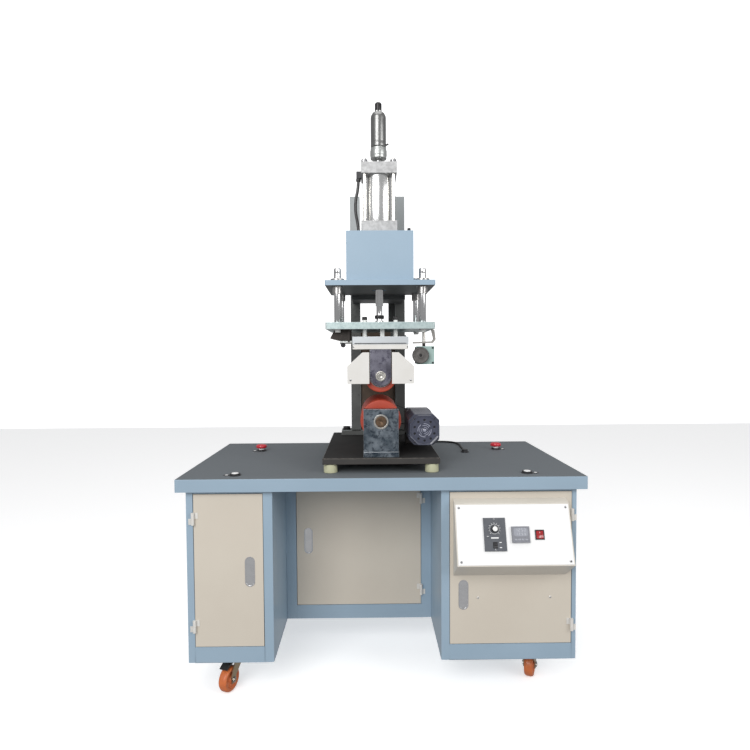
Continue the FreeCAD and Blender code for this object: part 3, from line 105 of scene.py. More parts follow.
def eased(points: Sequence[tuple[float, float]], ease: float, closed: bool, steps: int = 4) -> Array:
    """A line with its corners rounded.

    Each corner becomes the parabola from a point short of it to a point past it:
    (1-t)^2 before + 2t(1-t) corner + t^2 after.
    """
    line = np.array(points, float)
    before = np.roll(line, 1, axis=0)
    after = np.roll(line, -1, axis=0)
    back, ahead = before - line, after - line
    back_length = np.linalg.norm(back, axis=1, keepdims=True) + 1e-9
    ahead_length = np.linalg.norm(ahead, axis=1, keepdims=True) + 1e-9
    reach = np.minimum(ease, 0.45 * np.minimum(back_length, ahead_length))
    start = line + back / back_length * reach
    finish = line + ahead / ahead_length * reach
    t = np.linspace(0.0, 1.0, steps)[None, :, None]
    curves = (1 - t) ** 2 * start[:, None] + 2 * t * (1 - t) * line[:, None] + t ** 2 * finish[:, None]
    if closed:
        return curves.reshape(-1, 2)
    return np.vstack([line[:1], curves[1:-1].reshape(-1, 2), line[-1:]])


def circle(radius: float, steps: int = 48) -> Array:
    """Points at equal angles on a circle."""
    angle = np.linspace(0.0, 2 * math.pi, steps, endpoint=False)
    return radius * np.column_stack([np.cos(angle), np.sin(angle)])


def ribbed(radius: float, count: int, depth: float, per_rib: int = 6) -> Array:
    """A circle whose radius falls by depth times a raised cosine, count times round."""
    angle = np.linspace(0.0, 2 * math.pi, count * per_rib, endpoint=False)
    reach = radius - depth * (0.5 + 0.5 * np.cos(count * angle))
    return reach[:, None] * np.column_stack([np.cos(angle), np.sin(angle)])


def rounded(width: float, height: float, corner: float) -> Array:
    """A rectangle about the origin with rounded corners."""
    x, y = width / 2, height / 2
    return eased([(-x, -y), (x, -y), (x, y), (-x, y)], corner * 1.3, True, 7)


def oval(width: float, length: float, steps: int = 20) -> Array:
    """An upright oval: two half circles joined by straight sides."""
    half = width / 2
    angle = np.linspace(0.0, math.pi, steps)
    top = np.column_stack([half * np.cos(angle), half * np.sin(angle) + length / 2 - half])
    return np.vstack([top, -top])


def cut_square(size: float, cut: float) -> Array:
    """A square about the origin with its four corners cut off."""
    half, inner = size / 2, size / 2 - cut
    corners = [(-inner, -half), (inner, -half), (half, -inner), (half, inner), (inner, half),
               (-inner, half), (-half, inner), (-half, -inner)]
    return eased(corners, 2.5, True, 4)


def hexagon(across_flats: float) -> Array:
    """Six corners round the origin, slightly eased."""
    return eased([tuple(p) for p in circle(across_flats / math.sqrt(3), 6)], 0.6, True, 3)


def inset(ring: Array, offset: float) -> Array:
    """A closed anticlockwise line moved inwards by offset, each point along the mitre of its two sides."""
    side = np.roll(ring, -1, axis=0) - ring
    side = side / (np.linalg.norm(side, axis=1, keepdims=True) + 1e-12)
    inward = np.column_stack([-side[:, 1], side[:, 0]])
    before = np.roll(inward, 1, axis=0)
    share = 1.0 + np.sum(inward * before, axis=1, keepdims=True)
    return ring + offset * (inward + before) / np.maximum(share, 0.25)


def slab(low: float, high: float, edge: float, steps: int = 4) -> list[tuple[float, float]]:
    """Profile of a plate: (inset, height) pairs with a quarter round at both ends."""
    angle = np.linspace(0.0, math.pi / 2, steps)
    foot = [(edge * (1 - math.sin(a)), low + edge * (1 - math.cos(a))) for a in angle]
    head = [(edge * (1 - math.cos(a)), high - edge * (1 - math.sin(a))) for a in angle]
    return foot + head


def lathe_rings(profile: Array, steps: int) -> Array:
    """Rings of a turned shape: each (radius, height) pair swept round the out direction."""
    around = circle(1.0, steps)
    flat = profile[:, 0, None, None] * around[None]
    height = np.broadcast_to(profile[:, 1, None, None], (len(profile), steps, 1))
    return np.concatenate([flat, height], axis=2)


def carried_rings(outline: Array, profile: Profile) -> Array:
    """Rings of an outline carried through a profile of (inset, height) pairs."""
    return np.array([np.column_stack([inset(outline, offset), np.full(len(outline), height)])
                     for offset, height in profile])


def skin(name: str, rings: Array, seat: Seat, looped: bool = False) -> bpy.types.Object:
    """Join rings of points into a closed mesh.

    Args:
        name: the piece's name.
        rings: (rows, around, 3) points in millimetres in the seat's directions.
        seat: where the piece stands.
        looped: True joins the last ring to the first; otherwise both ends are capped.

    Returns:
        The new object, with its faces pointing outwards.
    """
    rows, around = rings.shape[:2]
    points = seat.place(rings.reshape(-1, 3))
    index = np.arange(rows * around).reshape(rows, around)
    lower = index if looped else index[:-1]
    upper = np.roll(index, -1, axis=0) if looped else index[1:]
    quads = np.stack([lower, np.roll(lower, -1, axis=1), np.roll(upper, -1, axis=1), upper], axis=-1)
    quads = quads.reshape(-1, 4)
    corners = points[quads]
    fans = np.einsum("ij,ij->i", corners[:, 0], np.cross(corners[:, 1], corners[:, 2]))
    fans += np.einsum("ij,ij->i", corners[:, 0], np.cross(corners[:, 2], corners[:, 3]))
    volume = float(fans.sum())
    faces = quads.tolist()
    if not looped:
        for ring, flip in ((index[0], True), (index[-1], False)):
            middle = points[ring].mean(axis=0)
            following = np.roll(ring, -1)
            part = np.cross(points[ring], points[following]) @ middle
            volume += float(part.sum()) * (-1 if flip else 1)
            faces.append(ring[::-1].tolist() if flip else ring.tolist())
    if volume < 0:
        faces = [face[::-1] for face in faces]
    mesh = bpy.data.meshes.new(name)
    mesh.from_pydata(points.tolist(), [], faces)
    return finished_object(name, mesh)


def finished_object(name: str, mesh: bpy.types.Mesh, crease: float = 32.0) -> bpy.types.Object:
    """Smooth a mesh except across sharp edges, and link it as an object at the origin."""
    mesh.update()
    mesh.shade_smooth()
    mesh.set_sharp_from_angle(angle=math.radians(crease))
    thing = bpy.data.objects.new(name, mesh)
    bpy.context.scene.collection.objects.link(thing)
    return thing


def turned(name: str, profile: Profile, seat: Seat, ease: float = 0.5,
           steps: int = 56) -> bpy.types.Object:
    """A turned piece from (radius, height) pairs in millimetres, its corners eased."""
    line = eased(profile, ease, False, 3)
    line[:, 0] = np.maximum(line[:, 0], 0.02)
    return skin(name, lathe_rings(line, steps), seat)


def ring_shape(name: str, profile: Profile, seat: Seat, ease: float = 0.4,
               steps: int = 56) -> bpy.types.Object:
    """A turned ring: a closed (radius, height) outline swept round the out direction."""
    return skin(name, lathe_rings(eased(profile, ease, True, 3), steps), seat, looped=True)


def carried(name: str, outline: Array, profile: Profile, seat: Seat) -> bpy.types.Object:
    """An outline carried through (inset, height) pairs and closed at both ends."""
    return skin(name, carried_rings(outline, profile), seat)


def merged(name: str, parts: Sequence[bpy.types.Object]) -> bpy.types.Object:
    """Several meshes as one object, with their materials kept."""
    points: list[Array] = []
    faces: list[list[int]] = []
    marks: list[int] = []
    slots: list[bpy.types.Material] = []
    start = 0
    for part in parts:
        mesh = part.data
        flat = np.empty(len(mesh.vertices) * 3)
        mesh.vertices.foreach_get("co", flat)
        points.append(flat.reshape(-1, 3))
        faces += [[start + v for v in face.vertices] for face in mesh.polygons]
        for material in mesh.materials:
            if material not in slots:
                slots.append(material)
        local = [slots.index(material) for material in mesh.materials]
        marks += [local[face.material_index] if local else 0 for face in mesh.polygons]
        start += len(mesh.vertices)
        bpy.data.objects.remove(part)
    mesh = bpy.data.meshes.new(name)
    mesh.from_pydata(np.vstack(points).tolist(), [], faces)
    for material in slots:
        mesh.materials.append(material)
    mesh.polygons.foreach_set("material_index", marks)
    return finished_object(name, mesh)


# --- shader maths -------------------------------------------------------------------------------

class Shader:
    """A material's node tree, with one method that makes any node."""

    def __init__(self, name: str) -> None:
        """Start an empty principled material."""
        self.material = bpy.data.materials.new(name)
        self.material.use_nodes = True
        self.tree = self.material.node_tree
        self.surface = self.tree.nodes["Principled BSDF"]

    def node(self, kind: str, settings: Optional[dict[str, object]] = None,
             inputs: Optional[dict[str | int, object]] = None) -> bpy.types.Node:
        """Make a node.

        Args:
            kind: the node's type.
            settings: properties, set first; "stops" sets a colour ramp's (place, colour) pairs.
            inputs: values, sockets or Number objects for its inputs.

        Returns:
            The node.
        """
        made = self.tree.nodes.new(kind)
        for key, value in (settings or {}).items():
            if key == "stops":
                self._stops(made, value)
            else:
                setattr(made, key, value)
        for key, value in (inputs or {}).items():
            self.feed(made.inputs[key], value)
        return made

    def _stops(self, ramp: bpy.types.Node, stops: Sequence[tuple[float, Triple]]) -> None:
        """Set a colour ramp's stops."""
        elements = ramp.color_ramp.elements
        while len(elements) < len(stops):
            elements.new(0.5)
        for element, (place, colour) in zip(elements, stops):
            element.position = place
            element.color = (*colour, 1.0)

    def feed(self, socket: bpy.types.NodeSocket, value: object) -> None:
        """Link a socket or a Number to an input, or set its value."""
        if isinstance(value, Number):
            value = value.socket
        if isinstance(value, bpy.types.NodeSocket):
            self.tree.links.new(value, socket)
        elif isinstance(value, tuple) and len(value) == 3 and socket.type == "RGBA":
            socket.default_value = (*value, 1.0)
        else:
            socket.default_value = value

    def noise(self, place: bpy.types.NodeSocket, grain: float, detail: float = 3.0,
              rough: float = 0.55) -> "Number":
        """Cloudy noise whose patches are about grain metres across."""
        made = self.node("ShaderNodeTexNoise", None, {"Vector": place, "Scale": 1.0 / grain,
                                                      "Detail": detail, "Roughness": rough})
        return Number(self, made.outputs[0])

    def blend(self, amount: object, first: object, second: object) -> bpy.types.NodeSocket:
        """Mix two colours."""
        made = self.node("ShaderNodeMix", {"data_type": "RGBA"}, {0: amount, 6: first, 7: second})
        return made.outputs[2]


class Number:
    """A number that varies over a surface; arithmetic on it adds Math nodes."""

    def __init__(self, shader: Shader, socket: bpy.types.NodeSocket) -> None:
        """Wrap a socket."""
        self.shader = shader
        self.socket = socket

    def _with(self, operation: str, first: object, second: object) -> "Number":
        """One Math node on two values."""
        made = self.shader.node("ShaderNodeMath", {"operation": operation}, {0: first, 1: second})
        return Number(self.shader, made.outputs[0])

    def __add__(self, other: object) -> "Number":
        """The sum."""
        return self._with("ADD", self, other)

    def __sub__(self, other: object) -> "Number":
        """The difference."""
        return self._with("SUBTRACT", self, other)

    def __mul__(self, other: object) -> "Number":
        """The product."""
        return self._with("MULTIPLY", self, other)

    def between(self, low: float, high: float) -> "Number":
        """0 below low, 1 above high and a smooth step from one to the other."""
        made = self.shader.node("ShaderNodeMapRange", {"interpolation_type": "SMOOTHSTEP"},
                                {"Value": self, "From Min": low, "From Max": high})
        return Number(self.shader, made.outputs[0])


class Grain(Enum):
    """Which way a finish's fine marks run, as a stretch of its pattern along X, Y and Z."""

    EVEN = (1.0, 1.0, 1.0)
    ALONG_X = (0.04, 1.0, 1.0)
    ALONG_Z = (1.0, 1.0, 0.04)
    ROUND_Y = (0.02, 1.0, 0.02)
    ROUND_Z = (0.02, 0.02, 1.0)


@dataclass(frozen=True)
class Finish:
    """One surface finish: two colours that mottle, fine marks, and relief in metres."""

    name: str
    slot: str
    colour: Triple
    shade: Triple
    rough: float = 0.45
    metal: float = 0.0
    coat: float = 0.0
    patch: float = 0.09
    spread: float = 0.5
    fine: float = 0.0016
    relief: float = 0.00005
    uneven: float = 0.12
    grain: Grain = Grain.EVEN
    stain: Optional[Triple] = None
    stained: float = 0.55
    glow: float = 0.0
    cells: float = 0.0
    # Colour for upward-facing faces: painted shade on tops that should look dim.
    painted_top_shade: Optional[Triple] = None
    # Heights in metres and a colour: above them faces blend to that colour, below them the darker colour is
    # painted shade.
    painted_shade_height: Optional[tuple[float, float, Triple]] = None

    def material(self) -> bpy.types.Material:
        """Build the finish once: mottle, stains, spangle, fine marks and a bump."""
        found = bpy.data.materials.get(self.name)
        if found is not None:
            return found
        shader = Shader(self.name)
        place = shader.node("ShaderNodeTexCoord").outputs["Object"]
        rough: object = self.rough
        run = shader.node("ShaderNodeMapping", None, {"Vector": place, "Scale": self.grain.value}).outputs[0]
        cloud = shader.noise(place, self.patch, 4.0).between(0.3, 0.7)
        marks = shader.noise(run, self.fine, 2.0)
        colour = shader.blend(cloud * self.spread, self.colour, self.shade)
        if self.cells:
            flakes = shader.node("ShaderNodeTexVoronoi", {"feature": "F1"},
                                 {"Vector": place, "Scale": 1.0 / self.cells})
            tone = Number(shader, flakes.outputs["Distance"]).between(0.1, 0.8)
            colour = shader.blend(tone * 0.55, colour, self.shade)
        if self.stain is not None:
            blots = shader.noise(place, self.patch * 0.42, 6.0, 0.7)
            blots = blots.between(self.stained, self.stained + 0.16)
            colour = shader.blend(blots * 0.75, colour, self.stain)
        # Upward-facing faces blend to the top colour and get rougher: painted shade on the tops.
        if self.painted_top_shade is not None:
            facing = shader.node("ShaderNodeSeparateXYZ", None, {
                0: shader.node("ShaderNodeNewGeometry").outputs["Normal"]}).outputs[2]
            flat = Number(shader, facing).between(0.5, 0.95)
            colour = shader.blend(flat, colour, self.painted_top_shade)
            rough = flat * 0.3 + self.rough
        # Faces blend to a lighter colour above a height; the darker colour below is painted shade.
        if self.painted_shade_height is not None:
            low, high, tone = self.painted_shade_height
            height = shader.node("ShaderNodeSeparateXYZ", None, {0: place}).outputs[2]
            colour = shader.blend(Number(shader, height).between(low, high) * 0.85, colour, tone)
        tint = marks.between(0.25, 0.8)
        colour = shader.blend(tint * (0.16 if self.metal else 0.07), colour,
                              tuple(0.55 * c for c in self.colour))
        surface = shader.surface
        shader.feed(surface.inputs["Base Color"], colour)
        shader.feed(surface.inputs["Roughness"], (marks - 0.5) * self.uneven + cloud * 0.05 + rough)
        surface.inputs["Metallic"].default_value = self.metal
        surface.inputs["Coat Weight"].default_value = self.coat
        surface.inputs["Coat Roughness"].default_value = 0.12
        if self.glow:
            surface.inputs["Emission Color"].default_value = (*self.colour, 1.0)
            surface.inputs["Emission Strength"].default_value = self.glow
        bump = shader.node("ShaderNodeBump", None, {"Height": marks, "Distance": self.relief,
                                                    "Strength": 0.6})
        shader.feed(surface.inputs["Normal"], bump.outputs[0])
        return shader.material


BLUE = Finish("blue_grey_enamel", "blue_grey_paint", (0.315, 0.42, 0.515), (0.27, 0.37, 0.46), 0.42,
              coat=0.25, patch=0.25, fine=0.0022, relief=0.00008)
# The desk top's upward faces are painted dark grey: painted shade for its dim top.
DESK_BLUE = Finish("desk_top_enamel", "blue_grey_paint", (0.30, 0.40, 0.49), (0.26, 0.35, 0.43), 0.45,
                   patch=0.3, fine=0.0022, relief=0.00008, painted_top_shade=(0.128, 0.142, 0.153))
CARCASS_BLUE = Finish("carcass_enamel", "carcass_paint", (0.315, 0.42, 0.515), (0.26, 0.36, 0.45), 0.42,
                      coat=0.25, patch=0.2, fine=0.0022, relief=0.00008)
CREAM = Finish("cream_enamel", "cream_paint", (0.62, 0.565, 0.48), (0.57, 0.51, 0.43), 0.45, coat=0.15,
               patch=0.22, fine=0.0024, relief=0.00009)
# Near black on the doors' outer walls: painted shade in the gaps round the doors.
PAINTED_GAP_SHADE = Finish("door_gap_shade", "cream_paint", (0.03, 0.032, 0.036), (0.045, 0.046, 0.05), 0.7)
BOX_CREAM = Finish("box_enamel", "box_paint", (0.66, 0.62, 0.55), (0.6, 0.56, 0.49), 0.45, coat=0.15,
                   fine=0.0024, relief=0.00009)
WHITE = Finish("panel_enamel", "white_paint", (0.88, 0.88, 0.875), (0.84, 0.84, 0.83), 0.4, coat=0.2,
               patch=0.15, fine=0.0024, relief=0.00006)
GUARD = Finish("guard_enamel", "guard_paint", (0.7, 0.685, 0.655), (0.63, 0.61, 0.57), 0.42, coat=0.2,
               patch=0.05, fine=0.002, relief=0.00009, stain=(0.5, 0.46, 0.38), stained=0.68)
HINGE = Finish("hinge_enamel", "hinge_steel", (0.72, 0.70, 0.66), (0.6, 0.58, 0.55), 0.4, patch=0.02)
CHROME = Finish("pull_surround", "pull_chrome", (0.84, 0.84, 0.85), (0.72, 0.72, 0.73), 0.2, 1.0, patch=0.02,
                fine=0.0012, relief=0.00001, uneven=0.08)
CHROME_FLAP = Finish("pull_flap", "pull_chrome", (0.24, 0.24, 0.26), (0.15, 0.15, 0.17), 0.3, 1.0,
                     patch=0.02, fine=0.0012, relief=0.00002, grain=Grain.ALONG_Z)
BLACK = Finish("black_moulding", "black_plastic", (0.022, 0.022, 0.025), (0.035, 0.035, 0.038), 0.42,
               patch=0.01, fine=0.0006, relief=0.00003)
DIAL_GREY = Finish("controller_moulding", "controller_plastic", (0.085, 0.092, 0.105), (0.12, 0.125, 0.14),
                   0.5, patch=0.012, fine=0.0005, relief=0.00003)
METER_GREY = Finish("meter_moulding", "meter_plastic", (0.2, 0.205, 0.23), (0.26, 0.265, 0.29), 0.48,
                    patch=0.012, fine=0.0005, relief=0.00003)
METER_GLASS = Finish("meter_window", "meter_plastic", (0.33, 0.34, 0.38), (0.28, 0.29, 0.32), 0.18, coat=0.6,
                     patch=0.02, relief=0.000005)
PRINT = Finish("white_marking", "controller_plastic", (0.85, 0.85, 0.85), (0.75, 0.75, 0.75), 0.5,
               patch=0.01)
DIGIT = Finish("display_segment", "meter_plastic", (0.62, 0.64, 0.68), (0.55, 0.57, 0.6), 0.4, patch=0.01)
ROCKER = Finish("red_rocker", "rocker_red", (0.33, 0.01, 0.015), (0.42, 0.024, 0.026), 0.22, coat=0.6,
                patch=0.008, relief=0.00001)
PALM = Finish("palm_cap", "palm_white", (0.84, 0.84, 0.83), (0.76, 0.76, 0.74), 0.28, coat=0.4, patch=0.01,
              relief=0.00001)
MUSHROOM = Finish("stop_mushroom", "stop_red", (0.5, 0.015, 0.03), (0.6, 0.035, 0.045), 0.3, coat=0.4,
                  patch=0.012, fine=0.0008, relief=0.00002)
PLATED = Finish("plated_pressing", "fork_steel", (0.42, 0.36, 0.25), (0.5, 0.33, 0.2), 0.32, 1.0, patch=0.02,
                fine=0.0014, relief=0.00003, stain=(0.16, 0.11, 0.07), stained=0.6)
MOUNT_STEEL = Finish("caster_plate_steel", "fork_steel", (0.3, 0.3, 0.3), (0.2, 0.2, 0.2), 0.4, 1.0)
TREAD = Finish("orange_tread", "caster_tread", (0.66, 0.17, 0.045), (0.48, 0.11, 0.035), 0.42, patch=0.016,
               fine=0.0012, relief=0.00006, stain=(0.16, 0.07, 0.04), stained=0.6, coat=0.15)
PEDAL = Finish("pedal_moulding", "pedal_black", (0.02, 0.02, 0.02), (0.04, 0.038, 0.035), 0.4, patch=0.01,
               stain=(0.12, 0.1, 0.09), stained=0.66)
# The base plate's upward faces are painted almost black: painted shade that keeps its top dim.
BASE = Finish("blackened_plate", "base_black", (0.03, 0.028, 0.026), (0.045, 0.04, 0.037), 0.5, patch=0.07,
              fine=0.002, relief=0.00009, stain=(0.07, 0.055, 0.045), stained=0.64, uneven=0.2,
              painted_top_shade=(0.006, 0.0055, 0.005))
BASE_EDGE = Finish("plate_worn_edge", "base_black", (0.11, 0.1, 0.09), (0.04, 0.035, 0.03), 0.4, 0.6,
                   patch=0.012, spread=0.9)
FOOT = Finish("nylon_foot", "foot_plastic", (0.52, 0.52, 0.35), (0.45, 0.45, 0.29), 0.5, patch=0.02,
              fine=0.001, relief=0.00003)
BLOCK = Finish("ground_block", "block_steel", (0.075, 0.1, 0.125), (0.27, 0.31, 0.35), 0.3, 0.85, patch=0.03,
               fine=0.0014, relief=0.00006, stain=(0.02, 0.03, 0.045), stained=0.47, grain=Grain.ALONG_Z,
               spread=0.95, uneven=0.2)
BRIGHT_EDGE = Finish("ground_edge", "block_steel", (0.55, 0.58, 0.61), (0.35, 0.37, 0.4), 0.28, 1.0,
                     patch=0.01)
FORK = Finish("fork_plate_steel", "block_steel", (0.13, 0.125, 0.16), (0.27, 0.265, 0.32), 0.26, 0.85,
              patch=0.03, fine=0.0012, relief=0.00006, stain=(0.06, 0.055, 0.09), stained=0.5,
              grain=Grain.ALONG_Z, spread=0.85, uneven=0.2)
BUSH_RING = Finish("bush_ring", "block_steel", (0.68, 0.66, 0.62), (0.5, 0.47, 0.42), 0.25, 1.0, patch=0.01,
                   stain=(0.24, 0.2, 0.15), stained=0.6)
RED = Finish("silicone_cover", "silicone_red", (0.43, 0.054, 0.024), (0.34, 0.04, 0.02), 0.5, patch=0.03,
             fine=0.0016, relief=0.00006, stain=(0.5, 0.16, 0.11), stained=0.62)
SHAFT = Finish("oiled_shaft", "shaft_steel", (0.2, 0.13, 0.08), (0.1, 0.065, 0.045), 0.35, 0.8, patch=0.008,
               fine=0.001, stain=(0.4, 0.32, 0.24), stained=0.6, spread=0.9)
TURNED_STEEL = Finish("turned_steel", "shaft_steel", (0.46, 0.46, 0.47), (0.34, 0.34, 0.35), 0.26, 1.0,
                      patch=0.03, fine=0.0008, relief=0.00003, grain=Grain.ROUND_Y)
BELT = Finish("timing_belt", "belt_rubber", (0.018, 0.018, 0.018), (0.03, 0.03, 0.03), 0.6, patch=0.03,
              fine=0.0008, relief=0.00005)
NAVY = Finish("fan_cover_enamel", "motor_enamel", (0.044, 0.049, 0.077), (0.064, 0.07, 0.102), 0.3, coat=0.4,
              patch=0.03, fine=0.0018, relief=0.00007)
NAVY_LIGHT = Finish("motor_grille", "motor_enamel", (0.3, 0.31, 0.38), (0.2, 0.21, 0.28), 0.34, coat=0.3,
                    patch=0.02)
# Near black for the fan cover's shallow holes: painted shade inside them.
HOLE_SHADE = Finish("grille_hole_shade", "motor_enamel", (0.004, 0.004, 0.008), (0.006, 0.006, 0.01), 0.7, patch=0.02)
# The uprights' dark colour lower down is painted shade under the head; from 1.40 to 1.44 m up they blend to
# light grey.
COLUMN = Finish("column_enamel", "column_paint", (0.085, 0.088, 0.085), (0.13, 0.135, 0.13), 0.45, 0.2,
                patch=0.05, fine=0.0024, relief=0.00012, stain=(0.045, 0.045, 0.045), stained=0.56,
                painted_shade_height=(1.40, 1.44, (0.36, 0.385, 0.39)))
COLUMN_TOP = Finish("column_light_grey", "column_paint", (0.26, 0.285, 0.285), (0.36, 0.385, 0.38), 0.42, 0.4,
                    patch=0.03, fine=0.0022, relief=0.0001, stain=(0.12, 0.13, 0.13), stained=0.52)
PANEL = Finish("column_panel", "column_paint", (0.055, 0.035, 0.022), (0.1, 0.065, 0.04), 0.5, patch=0.03,
               stain=(0.16, 0.11, 0.06), stained=0.6)
ARM = Finish("arm_enamel", "arm_steel", (0.055, 0.058, 0.06), (0.085, 0.09, 0.092), 0.45, patch=0.06,
             fine=0.0024, relief=0.0001)
CAST = Finish("sand_cast_cap", "cap_alloy", (0.47, 0.47, 0.47), (0.33, 0.33, 0.33), 0.5, 0.75, patch=0.012,
              fine=0.0016, relief=0.0003, uneven=0.25, spread=0.8)
BARREL = Finish("polished_barrel", "barrel_alloy", (0.8, 0.8, 0.79), (0.74, 0.74, 0.73), 0.2, 1.0,
                patch=0.06, fine=0.0009, relief=0.000008, grain=Grain.ROUND_Z)
TIE = Finish("bright_rod", "barrel_alloy", (0.8, 0.78, 0.74), (0.7, 0.68, 0.64), 0.16, 1.0, relief=0.000008)
BUSH = Finish("guide_bush_steel", "bush_bronze", (0.46, 0.45, 0.44), (0.3, 0.29, 0.28), 0.3, 1.0,
              patch=0.015, grain=Grain.ROUND_Z, fine=0.001)
ROD = Finish("hard_chrome", "rod_chrome", (0.66, 0.66, 0.66), (0.52, 0.52, 0.52), 0.1, 1.0, patch=0.05,
             fine=0.0009, relief=0.000008, grain=Grain.ROUND_Z, uneven=0.06)
BLACK_OXIDE = Finish("black_oxide", "rod_chrome", (0.03, 0.03, 0.032), (0.055, 0.052, 0.05), 0.34, 0.7,
                     patch=0.012, fine=0.001, relief=0.00003)
ADJUSTER = Finish("sleeve_alloy", "adjuster_alloy", (0.27, 0.27, 0.265), (0.19, 0.19, 0.186), 0.3, 0.9,
                  patch=0.03, fine=0.0008, relief=0.00002, grain=Grain.ROUND_Z)
COLLAR = Finish("collar_alloy", "adjuster_alloy", (0.52, 0.535, 0.52), (0.4, 0.41, 0.4), 0.34, 0.85,
                patch=0.015, fine=0.0008, relief=0.00003, grain=Grain.ROUND_Z)
ZINC = Finish("galvanised_plate", "platen_zinc", (0.36, 0.455, 0.455), (0.55, 0.645, 0.635), 0.36, 0.45,
              patch=0.03, fine=0.0018, relief=0.00007, cells=0.009, stain=(0.26, 0.34, 0.34), stained=0.6)
ZINC_EDGE = Finish("galvanised_edge", "platen_zinc", (0.78, 0.84, 0.84), (0.6, 0.68, 0.68), 0.3, 0.6,
                   patch=0.02)
HEATER = Finish("milled_heater", "heater_alloy", (0.66, 0.69, 0.71), (0.54, 0.57, 0.6), 0.32, 0.6,
                patch=0.03, fine=0.0012, relief=0.00004, grain=Grain.ALONG_X, stain=(0.36, 0.36, 0.36),
                stained=0.64)
CERAMIC = Finish("white_spacer", "heater_alloy", (0.84, 0.84, 0.82), (0.74, 0.74, 0.7), 0.4, patch=0.008,
                 coat=0.2)
HOSE = Finish("air_line", "hose_black", (0.02, 0.02, 0.021), (0.03, 0.03, 0.03), 0.34, coat=0.3, patch=0.03,
              relief=0.00001)
LEAD = Finish("lead_sheath", "lead_black", (0.017, 0.017, 0.018), (0.028, 0.028, 0.028), 0.5, patch=0.03,
              fine=0.001)
BRACKET = Finish("tray_steel", "bracket_steel", (0.03, 0.024, 0.021), (0.065, 0.055, 0.048), 0.4, 0.5,
                 patch=0.02, stain=(0.18, 0.15, 0.12), stained=0.62)
STEPPER = Finish("stepper_enamel", "stepper_green", (0.35, 0.48, 0.45), (0.3, 0.42, 0.39), 0.4, coat=0.2,
                 patch=0.02)
KNURL = Finish("knurled_wheel", "wheel_knurled", (0.12, 0.114, 0.108), (0.175, 0.165, 0.16), 0.42, 0.6,
               patch=0.01, fine=0.0009, relief=0.00005)


# --- dressing -----------------------------------------------------------------------------------

Zone = tuple[Finish, Callable[[Array], Array]]


def coat(piece: bpy.types.Object, finish: Finish) -> bpy.types.Object:
    """Give a piece one more finish and hand the piece back."""
    piece.data.materials.append(finish.material())
    return piece


def wear(piece: bpy.types.Object, finish: Finish, body: str, *nodes: str) -> bpy.types.Object:
    """Give a new piece its finish, its body and the CAD nodes that it stands for."""
    if not piece.data.materials:
        piece.data.materials.append(finish.material())
    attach(piece, body)
    if nodes:
        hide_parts(*nodes)
    LOG.info("%s on %s, %s", piece.name, body, finish.name)
    return piece


def soften(node: str, finish: Finish, edge: float = 0.6, rim: Optional[Finish] = None,
           zones: Sequence[Zone] = ()) -> bpy.types.Object:
    """Finish one CAD node as a clean surface with rounded edges.

    A copy of its mesh is merged, flat facets are joined, and its edges get a small round.

    Args:
        node: the CAD node.
        finish: its main finish.
        edge: radius of the rounded edges, in millimetres; 0 leaves them.
        rim: a finish of its own for the rounded edges.
        zones: (finish, test) pairs; each test takes the faces' centres, in millimetres across,
            behind the desk's edge and above its top, and says which faces get that finish.

    Returns:
        The new piece.
    """
    mesh = frame["nodes"][node].data.copy()
    mesh.name = node + "_shell"
    work = bmesh.new()
    work.from_mesh(mesh)
    bmesh.ops.remove_doubles(work, verts=work.verts, dist=0.000004)
    bmesh.ops.dissolve_limit(work, angle_limit=math.radians(0.6), verts=work.verts, edges=work.edges)
    work.to_mesh(mesh)
    work.free()
    mesh.materials.clear()
    mesh.materials.append(finish.material())
    centres = np.empty(len(mesh.polygons) * 3)
    mesh.polygons.foreach_get("center", centres)
    centres = centres.reshape(-1, 3) - np.array([0.0, DESK_LOW[1], DESK_HIGH[2]])
    marks = np.zeros(len(mesh.polygons), dtype=np.int32)
    for number, (zone, test) in enumerate(zones, start=1):
        mesh.materials.append(zone.material())
        marks[test(centres / MM)] = number
    mesh.polygons.foreach_set("material_index", marks)
    thing = finished_object(mesh.name, mesh, 24.0)
    if edge:
        bevel = thing.modifiers.new("edge", "BEVEL")
        bevel.width = edge * MM
        bevel.segments = 2
        bevel.limit_method = "ANGLE"
        bevel.angle_limit = math.radians(40)
        bevel.harden_normals = True
        if rim is not None:
            mesh.materials.append(rim.material())
            bevel.material = len(mesh.materials) - 1
    return wear(thing, finish, BODY_OF[node], node)


class Drive(Enum):
    """What a screw head takes."""

    SOCKET = "socket"
    CROSS = "cross"


def screw(name: str, seat: Seat, radius: float, height: float, drive: Drive,
          finish: Finish) -> bpy.types.Object:
    """A screw head: a turned head with a hexagon socket, or a domed one with a cross slot."""
    if drive is Drive.SOCKET:
        head = turned(name, [(0, 0), (radius, 0), (radius, height), (radius * 0.62, height),
                             (radius * 0.55, height * 0.45), (0, height * 0.45)], seat, 0.4, 28)
    else:
        head = turned(name, [(0, 0), (radius, 0), (radius * 0.96, height * 0.4),
                             (radius * 0.6, height * 0.86), (0, height)], seat, 0.6, 28)
        across = slab(height * 0.75, height * 1.02, 0.05, 2)
        bars = [carried(name + "_bar", rounded(radius * wide, radius * tall, 0.1), across, seat)
                for wide, tall in ((1.1, 0.24), (0.24, 1.1))]
        for bar in bars:
            coat(bar, BLACK)
        coat(head, finish)
        return merged(name, [head, *bars])
    coat(head, finish)
    return head


def screws(name: str, seats: Sequence[Seat], radius: float, height: float, drive: Drive, finish: Finish,
           body: str) -> None:
    """A set of equal screws as one piece."""
    heads = [screw(f"{name}_{i}", seat, radius, height, drive, finish) for i, seat in enumerate(seats)]
    wear(merged(name, heads), finish, body)


DOWN: Triple = (0.0, 0.0, -1.0)
FRONTWARD: Triple = (0.0, -1.0, 0.0)
BACKWARD: Triple = (0.0, 1.0, 0.0)
RIGHTWARD: Triple = (1.0, 0.0, 0.0)


# --- camera, light and floor --------------------------------------------------------------------

